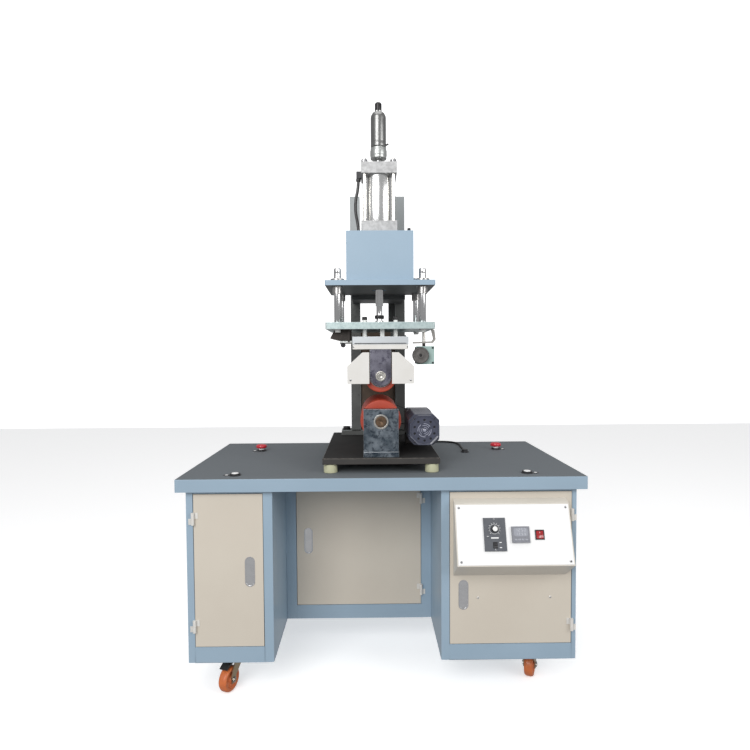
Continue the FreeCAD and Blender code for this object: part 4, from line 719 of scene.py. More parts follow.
@dataclass
class Studio:
    """Camera at the operator's side of the machine, soft lights, a pale floor and a lit backdrop."""

    eye: Triple = (-0.0373, -1.9057, 1.0237)
    lens: float = 26.93
    dip: float = 0.039
    swing: float = 0.0117
    roll: float = 0.006

    def camera(self) -> None:
        """Aim the camera: forward from its swing and dip, then rolled about its own axis."""
        ahead = np.array([math.sin(self.swing) * math.cos(self.dip),
                          math.cos(self.swing) * math.cos(self.dip), -math.sin(self.dip)])
        right = unit(np.cross(ahead, np.array([0.0, 0.0, 1.0])))
        up = np.cross(right, ahead)
        rolled = math.cos(self.roll) * right - math.sin(self.roll) * up
        risen = math.sin(self.roll) * right + math.cos(self.roll) * up
        data = bpy.data.cameras.new("operator_view")
        data.lens = self.lens
        data.sensor_width = 36.0
        eye = bpy.data.objects.new("operator_view", data)
        bpy.context.scene.collection.objects.link(eye)
        turn = np.eye(4)
        turn[:3, 0], turn[:3, 1], turn[:3, 2], turn[:3, 3] = rolled, risen, -ahead, self.eye
        eye.matrix_world = Matrix(turn.tolist())
        bpy.context.scene.camera = eye

    def light(self, name: str, place: Triple, size: float, power: float, aim: Triple) -> None:
        """One square soft light, pointed at a place."""
        data = bpy.data.lights.new(name, "AREA")
        data.size = size
        data.energy = power
        lamp = bpy.data.objects.new(name, data)
        bpy.context.scene.collection.objects.link(lamp)
        lamp.location = place
        axes = Seat(place, tuple(float(p - a) for p, a in zip(place, aim))).axes()
        lamp.rotation_euler = Matrix(axes.T.tolist()).to_euler()

    def build(self) -> None:
        """Camera, lights, world, floor and backdrop."""
        self.camera()
        self.light("front_softbox", (-1.5, -3.6, 2.6), 2.4, 118.0, (0.0, 0.0, 0.9))
        self.light("side_softbox", (2.8, -2.4, 2.0), 1.8, 44.0, (0.0, 0.0, 0.9))
        self.light("top_softbox", (0.0, -0.4, 3.6), 2.0, 22.0, (0.0, 0.0, 0.9))
        world = bpy.data.worlds.new("studio")
        bpy.context.scene.world = world
        world.use_nodes = True
        world.node_tree.nodes["Background"].inputs[0].default_value = (0.98, 0.985, 1.0, 1.0)
        world.node_tree.nodes["Background"].inputs[1].default_value = 0.42
        floor = skin("floor", lathe_rings(np.array([(14000.0, -4.0), (14000.0, 0.0)]), 48),
                     Seat((0.0, 0.0, 0.0)))
        pale = Finish("pale_floor", "", (0.86, 0.86, 0.86), (0.84, 0.84, 0.84), 0.7, relief=0.0, glow=0.55)
        coat(floor, pale)
        sweep = skin("backdrop", lathe_rings(np.array([(6.0, -20.0), (9000.0, 0.0), (9000.0, 30.0)]), 48),
                     Seat((0.0, 6.0, 1.0), FRONTWARD))
        lit = Finish("lit_backdrop", "", (0.9, 0.9, 0.9), (0.9, 0.9, 0.9), 0.8, relief=0.0, glow=0.95)
        coat(sweep, lit)
        for plain in (floor, sweep):
            plain.visible_glossy = False
            plain.visible_diffuse = False
        bpy.context.scene.view_settings.view_transform = "Standard"


# --- cords --------------------------------------------------------------------------------------

@dataclass
class Cords:
    """The machine's lead along the desk, and the cylinder's air hose."""

    lead_route: tuple[Triple, ...] = (
        (311, 424.5, 3.8), (312, 490, 3.8), (316, 550, 3.8), (311, 603, 3.8), (274, 634, 3.8),
        (215, 637, 3.8), (157, 634, 3.8), (105, 637, 4.5), (70, 638, 24), (57, 634, 62), (55, 617, 98),
        (55, 607, 136))
    hose_route: tuple[Triple, ...] = (
        (-66, 262, 936), (-67, 262, 904), (-76, 264, 868), (-77, 267, 830), (-70, 270, 795), (-66, 271, 763),
        (-65, 272, 733))
    lead_radius: float = 3.5
    hose_radius: float = 5.0

    def line(self, name: str, route: Sequence[Triple], radius: float, finish: Finish) -> bpy.types.Object:
        """A round cord on a smooth line guided by its route's points."""
        curve = bpy.data.curves.new(name, "CURVE")
        curve.dimensions = "3D"
        spline = curve.splines.new("NURBS")
        spline.points.add(len(route) - 1)
        for point, place in zip(spline.points, route):
            point.co = (*spot(*place), 1.0)
        spline.order_u = 3
        spline.use_endpoint_u = True
        curve.resolution_u = 12
        curve.bevel_depth = radius * MM
        curve.bevel_resolution = 5
        curve.use_fill_caps = True
        cord = bpy.data.objects.new(name, curve)
        bpy.context.scene.collection.objects.link(cord)
        curve.materials.append(finish.material())
        return cord

    def build(self) -> None:
        """Both cords, and the boot where the lead leaves its gland."""
        lead = self.line("lead", self.lead_route, self.lead_radius, LEAD)
        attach(lead, "root")
        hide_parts("machine_lead")
        spot(*self.lead_route[0])
        hose = self.line("hose", self.hose_route, self.hose_radius, HOSE)
        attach(hose, "root")
        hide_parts("air_hose")
        spot(*self.hose_route[0])
        boot = turned("lead_boot", [(0, 0), (5.4, 0), (5.2, 4), (4.4, 14), (3.9, 25), (0, 25)],
                      Seat(spot(311, 424.5, 3.8), BACKWARD), 0.8, 32)
        wear(boot, BLACK, "root")
        nut = carried("hose_nut", hexagon(14.0), slab(0, 9, 0.8), Seat(spot(-66, 262, 936), DOWN))
        wear(nut, BLACK_OXIDE, "root")


# --- desk ---------------------------------------------------------------------------------------

@dataclass
class Desk:
    """Desk top, carcass, doors and their pulls."""

    pulls: tuple[tuple[str, float, float, float], ...] = (
        ("left", -389.0, 17.0, -278.0), ("centre", -246.0, 288.0, -279.0), ("right", 239.5, 17.0, -354.0))
    pull_width: float = 30.0
    pull_length: float = 90.0

    def pull(self, side: str, across: float, back: float, rise: float) -> None:
        """A flush oval pull: a rolled rim and wall carried round an oval, with a ribbed flap inside."""
        seat = Seat(spot(across, back, rise), FRONTWARD)
        rim_line = [(0.2, 0.0), (0.0, 0.5), (0.5, 1.3), (1.6, 1.5), (2.8, 1.2), (3.5, 0.4), (3.7, -2.0),
                    (3.9, -6.0), (5.0, -9.5), (7.0, -10.6), (9.5, -10.7)]
        rim = carried(f"{side}_pull_rim", oval(self.pull_width, self.pull_length), rim_line + [
            (9.5, -11.8), (3.0, -11.8), (2.6, -0.2)], seat)
        rows, columns = 40, 16
        along = np.linspace(-1.0, 1.0, rows)[:, None]
        across_flap = np.linspace(-1.0, 1.0, columns)[None, :]
        width, length = self.pull_width / 2 - 4.2, self.pull_length / 2 - 12.0
        x = across_flap * width * np.sqrt(1.0 - 0.9 * np.abs(along) ** 10)
        y = along * length - 4.0 + 0.0 * across_flap
        z = -2.6 - 3.6 * across_flap ** 2 - 2.0 * np.abs(along) ** 6 + 0.25 * np.cos(along * 62.0)
        face = np.stack([x, y, z], axis=-1)
        back_face = face * np.array([1.0, 1.0, 0.0]) + np.array([0.0, 0.0, -9.0])
        loop = np.concatenate([face, back_face[:, ::-1]], axis=1)
        flap = skin(f"{side}_pull_flap", loop, seat)
        coat(rim, CHROME)
        coat(flap, CHROME_FLAP)
        wear(merged(f"{side}_pull", [rim, flap]), CHROME, BODY_OF[f"{side}_door_pull"], f"{side}_door_pull")

    def build(self) -> None:
        """Finish the desk's sheet metal and add its pulls and screws."""
        soften("desk_top", DESK_BLUE, 0.0)
        soften("desk_carcass", CARCASS_BLUE, 0.45)
        soften("hinge_pins", HINGE, 0.3)
        for side in ("left", "centre", "right"):
            # The doors' outer walls get the painted gap shade; the knuckles get hinge paint.
            zones = [(PAINTED_GAP_SHADE, self.gap_shade_test(side)), (HINGE, self.knuckle_test(side))]
            soften(f"{side}_door", CREAM, 0.7, zones=zones)
        for row in self.pulls:
            self.pull(*row)
        seats = [Seat(spot(x, 17, -363), FRONTWARD) for x in (282.8, 496.7)]
        screws("door_screws", seats, 4.2, 2.4, Drive.CROSS, HINGE, "right_door")

    def knuckle_test(self, side: str) -> Callable[[Array], Array]:
        """Faces that stand out in front of the door's sheet: its hinge knuckles."""
        face = 288.0 if side == "centre" else 17.0
        return lambda centre: centre[:, 1] < face - 0.2

    def gap_shade_test(self, side: str) -> Callable[[Array], Array]:
        """The door's narrow outer walls, painted near black as the shade in the gaps round the door."""
        face = 288.0 if side == "centre" else 17.0
        mesh = frame["nodes"][f"{side}_door"].data
        points = np.empty(len(mesh.vertices) * 3)
        mesh.vertices.foreach_get("co", points)
        points = (points.reshape(-1, 3) - np.array([0.0, DESK_LOW[1], DESK_HIGH[2]])) / MM
        sheet = points[np.abs(points[:, 1] - face) < 0.3]
        low, high = sheet.min(axis=0), sheet.max(axis=0)

        def outer(centre: Array) -> Array:
            """Faces behind the sheet and close to one of its four edges."""
            across = np.minimum(np.abs(centre[:, 0] - low[0]), np.abs(centre[:, 0] - high[0]))
            upright = np.minimum(np.abs(centre[:, 2] - low[2]), np.abs(centre[:, 2] - high[2]))
            return (centre[:, 1] > face + 0.3) & (np.minimum(across, upright) < 0.4)
        return outer


# --- buttons on the desk top --------------------------------------------------------------------

@dataclass
class Buttons:
    """Two palm buttons in front and two mushroom stop buttons behind."""

    side: float = 437.0
    palm_back: float = 53.0
    stop_back: float = 470.0
    tab_reach: float = 25.0

    def build(self) -> None:
        """Turned caps on their bodies, and white discs in the collars' tabs."""
        soften("desk_fittings", BLACK, 0.35)
        for sign, name in ((-1, "left"), (1, "right")):
            palm = turned(f"{name}_palm_cap", [(0, -24), (10.7, -24), (10.7, 5.6), (10.2, 7.2), (7.5, 8.2),
                                               (0, 8.6)], Seat(spot(sign * self.side, self.palm_back, 0)),
                          0.9)
            wear(palm, PALM, f"{name}_palm_button", f"{name}_palm_button")
            stop_seat = Seat(spot(sign * self.side, self.stop_back, 0))
            cap = turned(f"{name}_stop_cap", [(0, 10.8), (16.5, 11.4), (19.4, 13.4), (20, 16.5),
                                              (19.9, 19.5), (17.6, 23), (12, 25.2), (0, 26)], stop_seat,
                         1.5)
            stem = turned(f"{name}_stop_stem", [(0, -26), (10.7, -26), (10.7, 11.5), (0, 11.5)], stop_seat)
            coat(cap, MUSHROOM)
            coat(stem, PALM)
            wear(merged(f"{name}_stop", [cap, stem]), MUSHROOM, f"{name}_stop_button", f"{name}_stop_button")
            for back, label in ((self.palm_back, "palm"), (self.stop_back, "stop")):
                tab = turned(f"{name}_{label}_tab", [(0, 0.8), (5.3, 0.8), (5.0, 1.9), (0, 2.1)],
                             Seat(spot(sign * (self.side + self.tab_reach), back - 1, 0)), 0.4, 28)
                wear(tab, PALM, "root")


# --- control box --------------------------------------------------------------------------------

SEGMENTS: dict[str, str] = {"0": "abcdef", "1": "bc", "2": "abged", "5": "afgcd"}


@dataclass
class ControlPanel:
    """Sloping white face on the right door, with its three instruments."""

    left: float = 209.0
    corner_back: float = -6.0
    corner_drop: float = -76.0
    run: float = 58.0
    fall: float = 163.0
    plate: float = 0.8
    dial: tuple[float, float] = (110.0, 71.5)
    meter: tuple[float, float] = (184.0, 87.5)
    rocker: tuple[float, float] = (239.25, 88.25)

    def on_face(self, across: float, down: float, proud: float = 0.0, spin: float = 0.0) -> Seat:
        """A seat on the sloping face, measured across and down it from its top left corner."""
        slope = math.hypot(self.run, self.fall)
        sine, cosine = self.run / slope, self.fall / slope
        place = spot(self.left + across, self.corner_back - down * sine - proud * cosine,
                     self.corner_drop - down * cosine + proud * sine)
        return Seat(place, (0.0, -cosine, sine), spin)

    def mark(self, name: str, width: float, height: float, seat: Seat, finish: Finish,
             thick: float = 0.25) -> bpy.types.Object:
        """A thin printed or inlaid rectangle."""
        made = carried(name, rounded(width, height, min(width, height) * 0.25), slab(-0.2, thick, 0.08, 2),
                       seat)
        coat(made, finish)
        return made

    def digit(self, name: str, glyph: str, seat: Seat, height: float) -> list[bpy.types.Object]:
        """One seven-segment figure: three short bars across and four upright."""
        half = height / 2
        wide = height * 0.5
        bars = {"a": (0, half, True), "g": (0, 0, True), "d": (0, -half, True),
                "b": (wide / 2, half / 2, False), "c": (wide / 2, -half / 2, False),
                "f": (-wide / 2, half / 2, False), "e": (-wide / 2, -half / 2, False)}
        made = []
        for key in SEGMENTS[glyph]:
            x, y, flat = bars[key]
            size = (wide * 0.8, 0.75) if flat else (0.75, half * 0.8)
            made.append(self.mark(name + key, *size, seat.moved(x, y), DIGIT, 0.3))
        return made

    def speed_dial(self) -> None:
        """Dial marks, the blank name bar and two marks beside the rocker, with the knob and the rocker."""
        across, down = self.dial
        front = 4.8
        parts = []
        for index in range(11):
            angle = math.radians(225 - 27 * index)
            seat = self.on_face(across + 16.5 * math.cos(angle), down - 16.5 * math.sin(angle), front,
                                225 - 27 * index)
            parts.append(self.mark(f"tick{index}", 4.2 if index % 5 == 0 else 3.0, 0.9, seat, PRINT))
        hoop = ring_shape("dial_hoop", [(13.2, -0.1), (13.9, -0.1), (13.9, 0.2), (13.2, 0.2)],
                          self.on_face(across, down, front), 0.05, 48)
        parts.append(coat(hoop, PRINT))
        parts.append(self.mark("name_bar", 22, 3.6, self.on_face(across, down + 24.5, front), PRINT))
        for drop in (37, 51):
            seat = self.on_face(across + 15, down + drop, front)
            parts.append(self.mark(f"side_mark{drop}", 6.5, 2.2, seat, PRINT))
        parts.append(self.mark("small_mark", 5.5, 1.2, self.on_face(across - 20, down + 20, front), PRINT))
        wear(merged("speed_dial_marks", parts), PRINT, "right_door")
        heads = [self.on_face(across, drop, front) for drop in (down - 27.0, down + 57.5)]
        screws("speed_controller_screws", heads, 2.6, 1.3, Drive.CROSS, TURNED_STEEL, "right_door")
        soften("speed_controller", DIAL_GREY, 0.5)
        seat = self.on_face(across, down, 5.3)
        skirt = carried("knob_skirt", ribbed(9.9, 24, 0.5), [(0.8, 0.0), (0.0, 0.8), (0.2, 8.6), (1.0, 10.6),
                                                           (2.6, 11.4)], seat)
        cap = turned("knob_cap", [(0, 10), (7.0, 10), (7.0, 12.2), (6.2, 12.9), (0, 13.0)], seat, 0.6, 40)
        line = carried("knob_line", rounded(0.9, 4.6, 0.3), slab(10.6, 12.2, 0.1, 2), seat.moved(0, 8.2))
        stem = turned("knob_stem", [(0, -10), (3.4, -10), (3.4, 1), (0, 1)], seat, 0.3, 24)
        coat(skirt, BLACK)
        coat(cap, PALM)
        coat(line, PRINT)
        coat(stem, TURNED_STEEL)
        wear(merged("speed_dial_knob", [skirt, cap, line, stem]), BLACK, "speed_knob", "speed_knob")
        soften("speed_switch", BLACK, 0.5)

    def temperature(self) -> None:
        """Meter case with its window, two rows of figures and four keys."""
        soften("temperature_controller", METER_GREY, 0.8)
        across, down = self.meter
        front = 7.8
        parts = [self.mark("window", 40, 23, self.on_face(across, down - 6.5, front), METER_GLASS, 0.35)]
        for row, (glyphs, drop, height) in enumerate((("1250", -12.5, 7.6), ("1250", -1.5, 5.6))):
            for place, glyph in enumerate(glyphs):
                seat = self.on_face(across - 12 + 8 * place, down + drop, front + 0.3)
                parts += self.digit(f"figure{row}{place}", glyph, seat, height)
        for key in range(4):
            cap = carried(f"key{key}", rounded(7.2, 5.2, 1.2), slab(-0.2, 1.1, 0.4, 3),
                          self.on_face(across - 15 + 10 * key, down + 14, front))
            parts.append(coat(cap, METER_GLASS))
        wear(merged("temperature_display", parts), METER_GLASS, "right_door")

    def build(self) -> None:
        """Box, face plate, screws, instruments and the power rocker."""
        soften("control_box", BOX_CREAM, 1.0)
        soften("control_face", WHITE, 0.5)
        slope = math.hypot(self.run, self.fall)
        corners = [self.on_face(a, d, self.plate) for a in (12.0, 321.0) for d in (12.0, slope - 12.0)]
        screws("face_screws", corners, 3.6, 2.0, Drive.CROSS, TURNED_STEEL, "right_door")
        self.speed_dial()
        self.temperature()
        soften("power_switch", BLACK, 0.5)
        soften("power_rocker", ROCKER, 0.6)
        across, down = self.rocker
        bar = self.mark("rocker_bar", 0.8, 4.0, self.on_face(across, down - 6.0, 4.1), PRINT, 0.3)
        hoop = ring_shape("rocker_ring", [(1.6, -0.4), (2.2, -0.4), (2.2, 0.3), (1.6, 0.3)],
                          self.on_face(across, down + 6.2, 4.1), 0.05, 28)
        coat(hoop, PRINT)
        wear(merged("rocker_marks", [bar, hoop]), PRINT, "power_rocker")


# --- casters ------------------------------------------------------------------------------------

@dataclass
class Casters:
    """Two swivel casters with brakes in front and two fixed ones behind."""

    side: float = 455.0
    front: float = 95.0
    rear: float = 560.0
    trail: float = 34.0
    radius: float = 37.5
    yaws: tuple[tuple[str, int, float], ...] = (("left", -1, 158.0), ("right", 1, -24.0))

    def wheel(self, name: str, seat: Seat, body: str) -> None:
        """Tread and hub turned about the axle; the hub has six raised ribs each side."""
        half = 13.5
        r = self.radius
        tread = ring_shape(name + "_tread", [(27.0, -half + 0.6), (31.0, -half), (33.5, -half),
                                             (r - 1.6, -half + 3.2), (r, -half + 7), (r, half - 7),
                                             (r - 1.6, half - 3.2), (33.5, half), (31.0, half),
                                             (27.0, half - 0.6)], seat, 1.2, 72)
        coat(tread, TREAD)
        hub = ring_shape(name + "_hub", [(5.2, -half - 1.4), (11.5, -half - 1.4), (12.5, -half + 2),
                                         (15, -half + 4), (25, -half + 4), (27.2, -half + 0.8),
                                         (27.2, half - 0.8), (25, half - 4), (15, half - 4),
                                         (12.5, half - 2), (11.5, half + 1.4), (5.2, half + 1.4)], seat,
                         0.6, 60)
        coat(hub, TREAD)
        ribs = []
        for index in range(6):
            arm = seat.moved(spin=60.0 * index).moved(18.6, 0, 0)
            rib = carried(f"{name}_rib{index}", rounded(13.0, 2.6, 0.8),
                          slab(-half + 2.4, half - 2.4, 0.8, 3), arm)
            ribs.append(coat(rib, TREAD))
        wear(merged(name + "_wheel", [tread, hub, *ribs]), TREAD, body, body)

    def axle(self, name: str, seat: Seat, body: str) -> None:
        """Hexagon nuts on both ends of an axle."""
        parts = []
        for sign in (-1, 1):
            end = seat.moved(0, 0, sign * 19.2)
            ends = (0.0, 2.6) if sign > 0 else (-2.6, 0.0)
            nut = carried(f"{name}_nut{sign}", hexagon(14.5), slab(*ends, 0.5, 3), end)
            parts.append(coat(nut, TURNED_STEEL))
        wear(merged(name + "_nuts", parts), TURNED_STEEL, body)

    def build(self) -> None:
        """Forks, wheels and pedals."""
        soften("caster_mounts", MOUNT_STEEL, 0.5)
        for name, sign, yaw in self.yaws:
            angle = math.radians(yaw)
            away = (math.cos(angle), math.sin(angle), 0.0)
            hub = spot(sign * self.side - self.trail * math.sin(angle),
                       self.front + self.trail * math.cos(angle), 0.0)
            seat = Seat((hub[0], hub[1], self.radius * MM), away)
            soften(f"{name}_caster_fork", PLATED, 0.7)
            self.wheel(f"{name}_front", seat, f"{name}_front_wheel")
            self.axle(f"{name}_front", seat, f"{name}_caster")
            soften(f"{name}_brake_pedal", PEDAL, 0.7)
            back = spot(sign * self.side, self.rear, 0.0)
            rear = Seat((back[0], back[1], self.radius * MM), RIGHTWARD)
            self.wheel(f"{name}_rear", rear, f"{name}_rear_wheel")
            self.axle(f"{name}_rear", rear, "root")


# --- base, rollers and drive --------------------------------------------------------------------

@dataclass
class DriveTrain:
    """Base plate, bearing blocks, drive roller, belt and geared motor."""

    centre: float = 240.0
    axis: float = 154.0
    radius: float = 63.0
    front: float = 112.0
    length: float = 256.0
    block_face: float = 74.2
    motor_side: float = 135.0
    motor_axis: float = 122.0
    motor_size: float = 96.0
    pulley_back: float = 408.0

    def base(self) -> None:
        """Blackened plate with worn edges on four turned feet."""
        soften("base_plate", BASE, 0.8, BASE_EDGE)
        feet = []
        for index, (x, y) in enumerate((x, y) for x in (-154.5, 154.5) for y in (87.0, 599.0)):
            foot = turned(f"foot{index}", [(0, 0), (19.6, 0), (21, 1.2), (20.2, 26), (0, 27)],
                          Seat(spot(x, y, 0)), 0.8)
            feet.append(coat(foot, FOOT))
        wear(merged("nylon_feet", feet), FOOT, "root", "base_feet")

    def blocks(self) -> None:
        """Ground steel blocks with bright edges, bush rings and foot screws."""
        def bush(centre: Array) -> Array:
            """The bush that stands in the front block's bore."""
            radial = np.hypot(centre[:, 0], centre[:, 2] - self.axis)
            return (radial < 22.2) & (centre[:, 1] < self.block_face + 0.4)
        soften("bearing_blocks", BLOCK, 1.6, BRIGHT_EDGE, [(BUSH_RING, bush)])
        ring = ring_shape("bush_face_ring", [(17.3, 0.0), (22.6, 0.0), (22.2, 1.1), (17.6, 1.1)],
                          Seat(spot(0, self.block_face, self.axis), FRONTWARD), 0.3)
        wear(ring, BUSH_RING, "root")

    def roller(self) -> None:
        """Silicone cover on a steel core, with the shaft through it."""
        seat = Seat(spot(0, self.front, self.axis), BACKWARD)
        r, end = self.radius, self.length
        cover = ring_shape("drive_cover", [(30, 0.2), (r - 2, 0.0), (r, 2.0), (r, end - 2.0), (r - 2, end),
                                           (30, end - 0.2)], seat, 1.2, 96)
        coat(cover, RED)
        core = ring_shape("drive_core", [(17.3, 2.0), (26, 2.0), (28, 0.6), (30.2, 0.6), (30.2, end - 0.6),
                                         (28, end - 0.6), (26, end - 2), (17.3, end - 2)], seat, 0.8, 72)
        coat(core, TURNED_STEEL)
        wear(merged("drive_roller_cover", [cover, core]), RED, "drive_roller", "drive_roller")
        front_end = Seat(spot(0, self.block_face - 0.7, self.axis), BACKWARD)
        shaft = turned("drive_axle", [(0, 3.5), (3.2, 2.0), (3.6, 0.4), (15.6, 0.0), (17, 1.4), (17, 353),
                                      (15.8, 354.2), (0, 354.2)], front_end, 0.4)
        coat(shaft, SHAFT)
        pulley = self.pulley("drive_pulley", Seat(spot(0, self.pulley_back, self.axis), BACKWARD), 38.0,
                             17.5, 48)
        wear(merged("drive_axle_and_pulley", [shaft, pulley]), SHAFT, "drive_roller", "drive_shaft")

    def pulley(self, name: str, seat: Seat, radius: float, bore: float, teeth: int) -> bpy.types.Object:
        """A toothed pulley: a ribbed drum between two turned flanges."""
        drum = carried(name + "_drum", ribbed(radius - 0.2, teeth, 1.2), slab(1.0, 19.0, 0.1, 2), seat)
        coat(drum, TURNED_STEEL)
        parts = [drum]
        for low in (0.0, 18.2):
            flange = ring_shape(f"{name}_flange{low:.0f}", [(bore, low), (radius, low), (radius, low + 1.8),
                                                           (bore, low + 1.8)], seat, 0.3)
            parts.append(coat(flange, TURNED_STEEL))
        return merged(name, parts)

    def grille(self, seat: Seat) -> bpy.types.Object:
        """Fan grille: raised light arcs in three rings, and ten dark round holes outside them.

        The disc is a height on a polar grid. Each ring of arcs stands up where a smooth bump of
        the radius and a square wave of the angle both hold; each hole sinks round its centre.
        """
        steps, rows = 240, 72
        angle = np.linspace(0, 2 * math.pi, steps, endpoint=False)[None, :]
        reach = np.linspace(40.5, 0.4, rows)[:, None]
        height = np.zeros((rows, steps))
        for ring, width, gaps in ((9.5, 1.5, 3), (15.0, 1.7, 3), (20.5, 1.9, 4)):
            band = np.clip(1.6 - np.abs(reach - ring) / width * 1.6, 0.0, 1.0)
            arc = np.clip((np.cos(gaps * angle + ring) + 0.72) * 7, 0.0, 1.0)
            height += 1.7 * band * arc
        height += 2.2 * np.clip(1.6 - reach / 4.2, 0.0, 1.0)
        for index in range(10):
            turn = 2 * math.pi * (index + 0.5) / 10
            away = np.hypot(reach * np.cos(angle) - 32.0 * math.cos(turn),
                            reach * np.sin(angle) - 32.0 * math.sin(turn))
            height -= 1.2 * np.clip((3.9 - away) * 1.6, 0.0, 1.0)
        rings = np.stack([reach * np.cos(angle), reach * np.sin(angle), height + 0.4 + 0 * reach], axis=-1)
        low = np.stack([reach[:1] * np.cos(angle), reach[:1] * np.sin(angle), 0 * angle - 8.0], axis=-1)
        disc = skin("fan_grille", np.concatenate([low, rings]), seat)
        mesh = disc.data
        for finish in (NAVY, NAVY_LIGHT, HOLE_SHADE):
            mesh.materials.append(finish.material())
        centres = np.empty(len(mesh.polygons) * 3)
        mesh.polygons.foreach_get("center", centres)
        level = (centres.reshape(-1, 3) - np.array(seat.origin)) @ seat.axes()[2] / MM
        # Raised arcs get the light grille colour; sunken hole faces get near black as painted shade in the
        # holes.
        marks = np.where(level > 1.2, 1, np.where(level < -0.1, 2, 0)).astype(np.int32)
        flat = np.hypot(*((centres.reshape(-1, 3) - np.array(seat.origin)) @ seat.axes()[:2].T).T) / MM
        marks[flat > 39.5] = 0
        mesh.polygons.foreach_set("material_index", marks)
        return disc

    def motor(self) -> None:
        """Octagonal fan cover with its grille, ribbed case, gearhead and stand."""
        front = Seat(spot(self.motor_side, self.front, self.motor_axis), BACKWARD)
        size = self.motor_size
        cover = carried("fan_cover", cut_square(size - 3, 26), [(10, 1.6), (5.2, 1.4), (3.6, 0.4),
                                                                (1.6, 0.0), (0.3, 1.2), (0.0, 3.0),
                                                                (0.0, 17.6)], front)
        line = [(0.0, 17.8)]
        for rib in range(13):
            start = 24.0 + rib * 14.0
            line += [(0.0, start), (1.6, start + 1.2), (1.6, start + 4.0), (0.0, start + 5.2)]
        line.append((0.0, 218.0))
        case = carried("motor_case", cut_square(size, 18), line, front)
        gear = carried("gearhead", cut_square(size - 6, 8), slab(218.2, 280.0, 2.0), front)
        output = turned("output_shaft", [(0, 280), (6, 280), (6, 315.4), (5.4, 316), (0, 316)], front, 0.3,
                        32)
        for part, finish in ((cover, NAVY), (case, NAVY), (gear, NAVY), (output, TURNED_STEEL)):
            coat(part, finish)
        stand = carried("motor_stand", rounded(82, 52, 2), slab(0.0, 31.0, 1.0),
                        Seat(spot(self.motor_side - 4, self.front + 248, 46)))
        coat(stand, BASE)
        grille = self.grille(Seat(spot(self.motor_side, self.front + 0.6, self.motor_axis), FRONTWARD))
        wear(merged("geared_motor", [cover, case, gear, output, stand, grille]), NAVY, "root", "drive_motor")
        bolts = [Seat(spot(self.motor_side + sx * 30.8, self.front + 1.0, self.motor_axis + sz * 36.0),
                      FRONTWARD) for sx in (-1, 1) for sz in (-1, 1)]
        screws("fan_screws", bolts, 2.6, 1.6, Drive.CROSS, BLACK_OXIDE, "root")

    def belt(self) -> None:
        """Belt loop carried round both pulleys, with teeth inside it.

        The loop is two arcs and the two straight runs that touch both pulleys.
        """
        big, small = 38.3, 20.3
        across, drop = self.motor_side, self.motor_axis - self.axis
        span, lean = math.hypot(across, drop), math.atan2(drop, across)
        spread = math.acos((big - small) / span)
        far = np.linspace(lean + spread, lean + 2 * math.pi - spread, 90)
        near = np.linspace(lean - spread, lean + spread, 40)
        around = np.vstack([np.column_stack([big * np.cos(far), big * np.sin(far)]),
                            np.column_stack([across + small * np.cos(near), drop + small * np.sin(near)])])
        gap = np.linalg.norm(np.roll(around, -1, axis=0) - around, axis=1)
        along = np.concatenate([[0.0], np.cumsum(gap)])
        whole = along[-1]
        marks = np.linspace(0.0, whole, 420, endpoint=False)
        closed = np.vstack([around, around[:1]])
        inner = np.column_stack([np.interp(marks, along, closed[:, i]) for i in range(2)])
        tooth = 1.1 * (0.5 + 0.5 * np.sign(np.sin(2 * math.pi * 70 * marks / whole)))
        outer = inset(inner, -3.0)
        low, high = 2.5, 17.5
        teeth = inset(inner, -1.25)
        toothed = inner + (teeth - inner) * (1.0 - tooth / 1.1)[:, None]
        profile = [(toothed, low), (toothed, high), (outer, high), (outer, low)]
        rings = np.array([np.column_stack([-line[:, 0], line[:, 1], np.full(len(line), height)])
                          for line, height in profile])
        seat = Seat(spot(0, self.pulley_back, self.axis), BACKWARD)
        wear(skin("timing_belt_loop", rings, seat, looped=True), BELT, "root", "drive_belt")

    def build(self) -> None:
        """Everything that stands on the base plate."""
        self.base()
        self.blocks()
        self.roller()
        self.motor()
        self.belt()
        output_end = Seat(spot(self.motor_side, self.pulley_back, self.motor_axis), BACKWARD)
        small = self.pulley("motor_pulley_teeth", output_end, 20.0, 6.1, 24)
        wear(small, TURNED_STEEL, "motor_pulley", "motor_pulley")


# --- column, head and cylinder ------------------------------------------------------------------

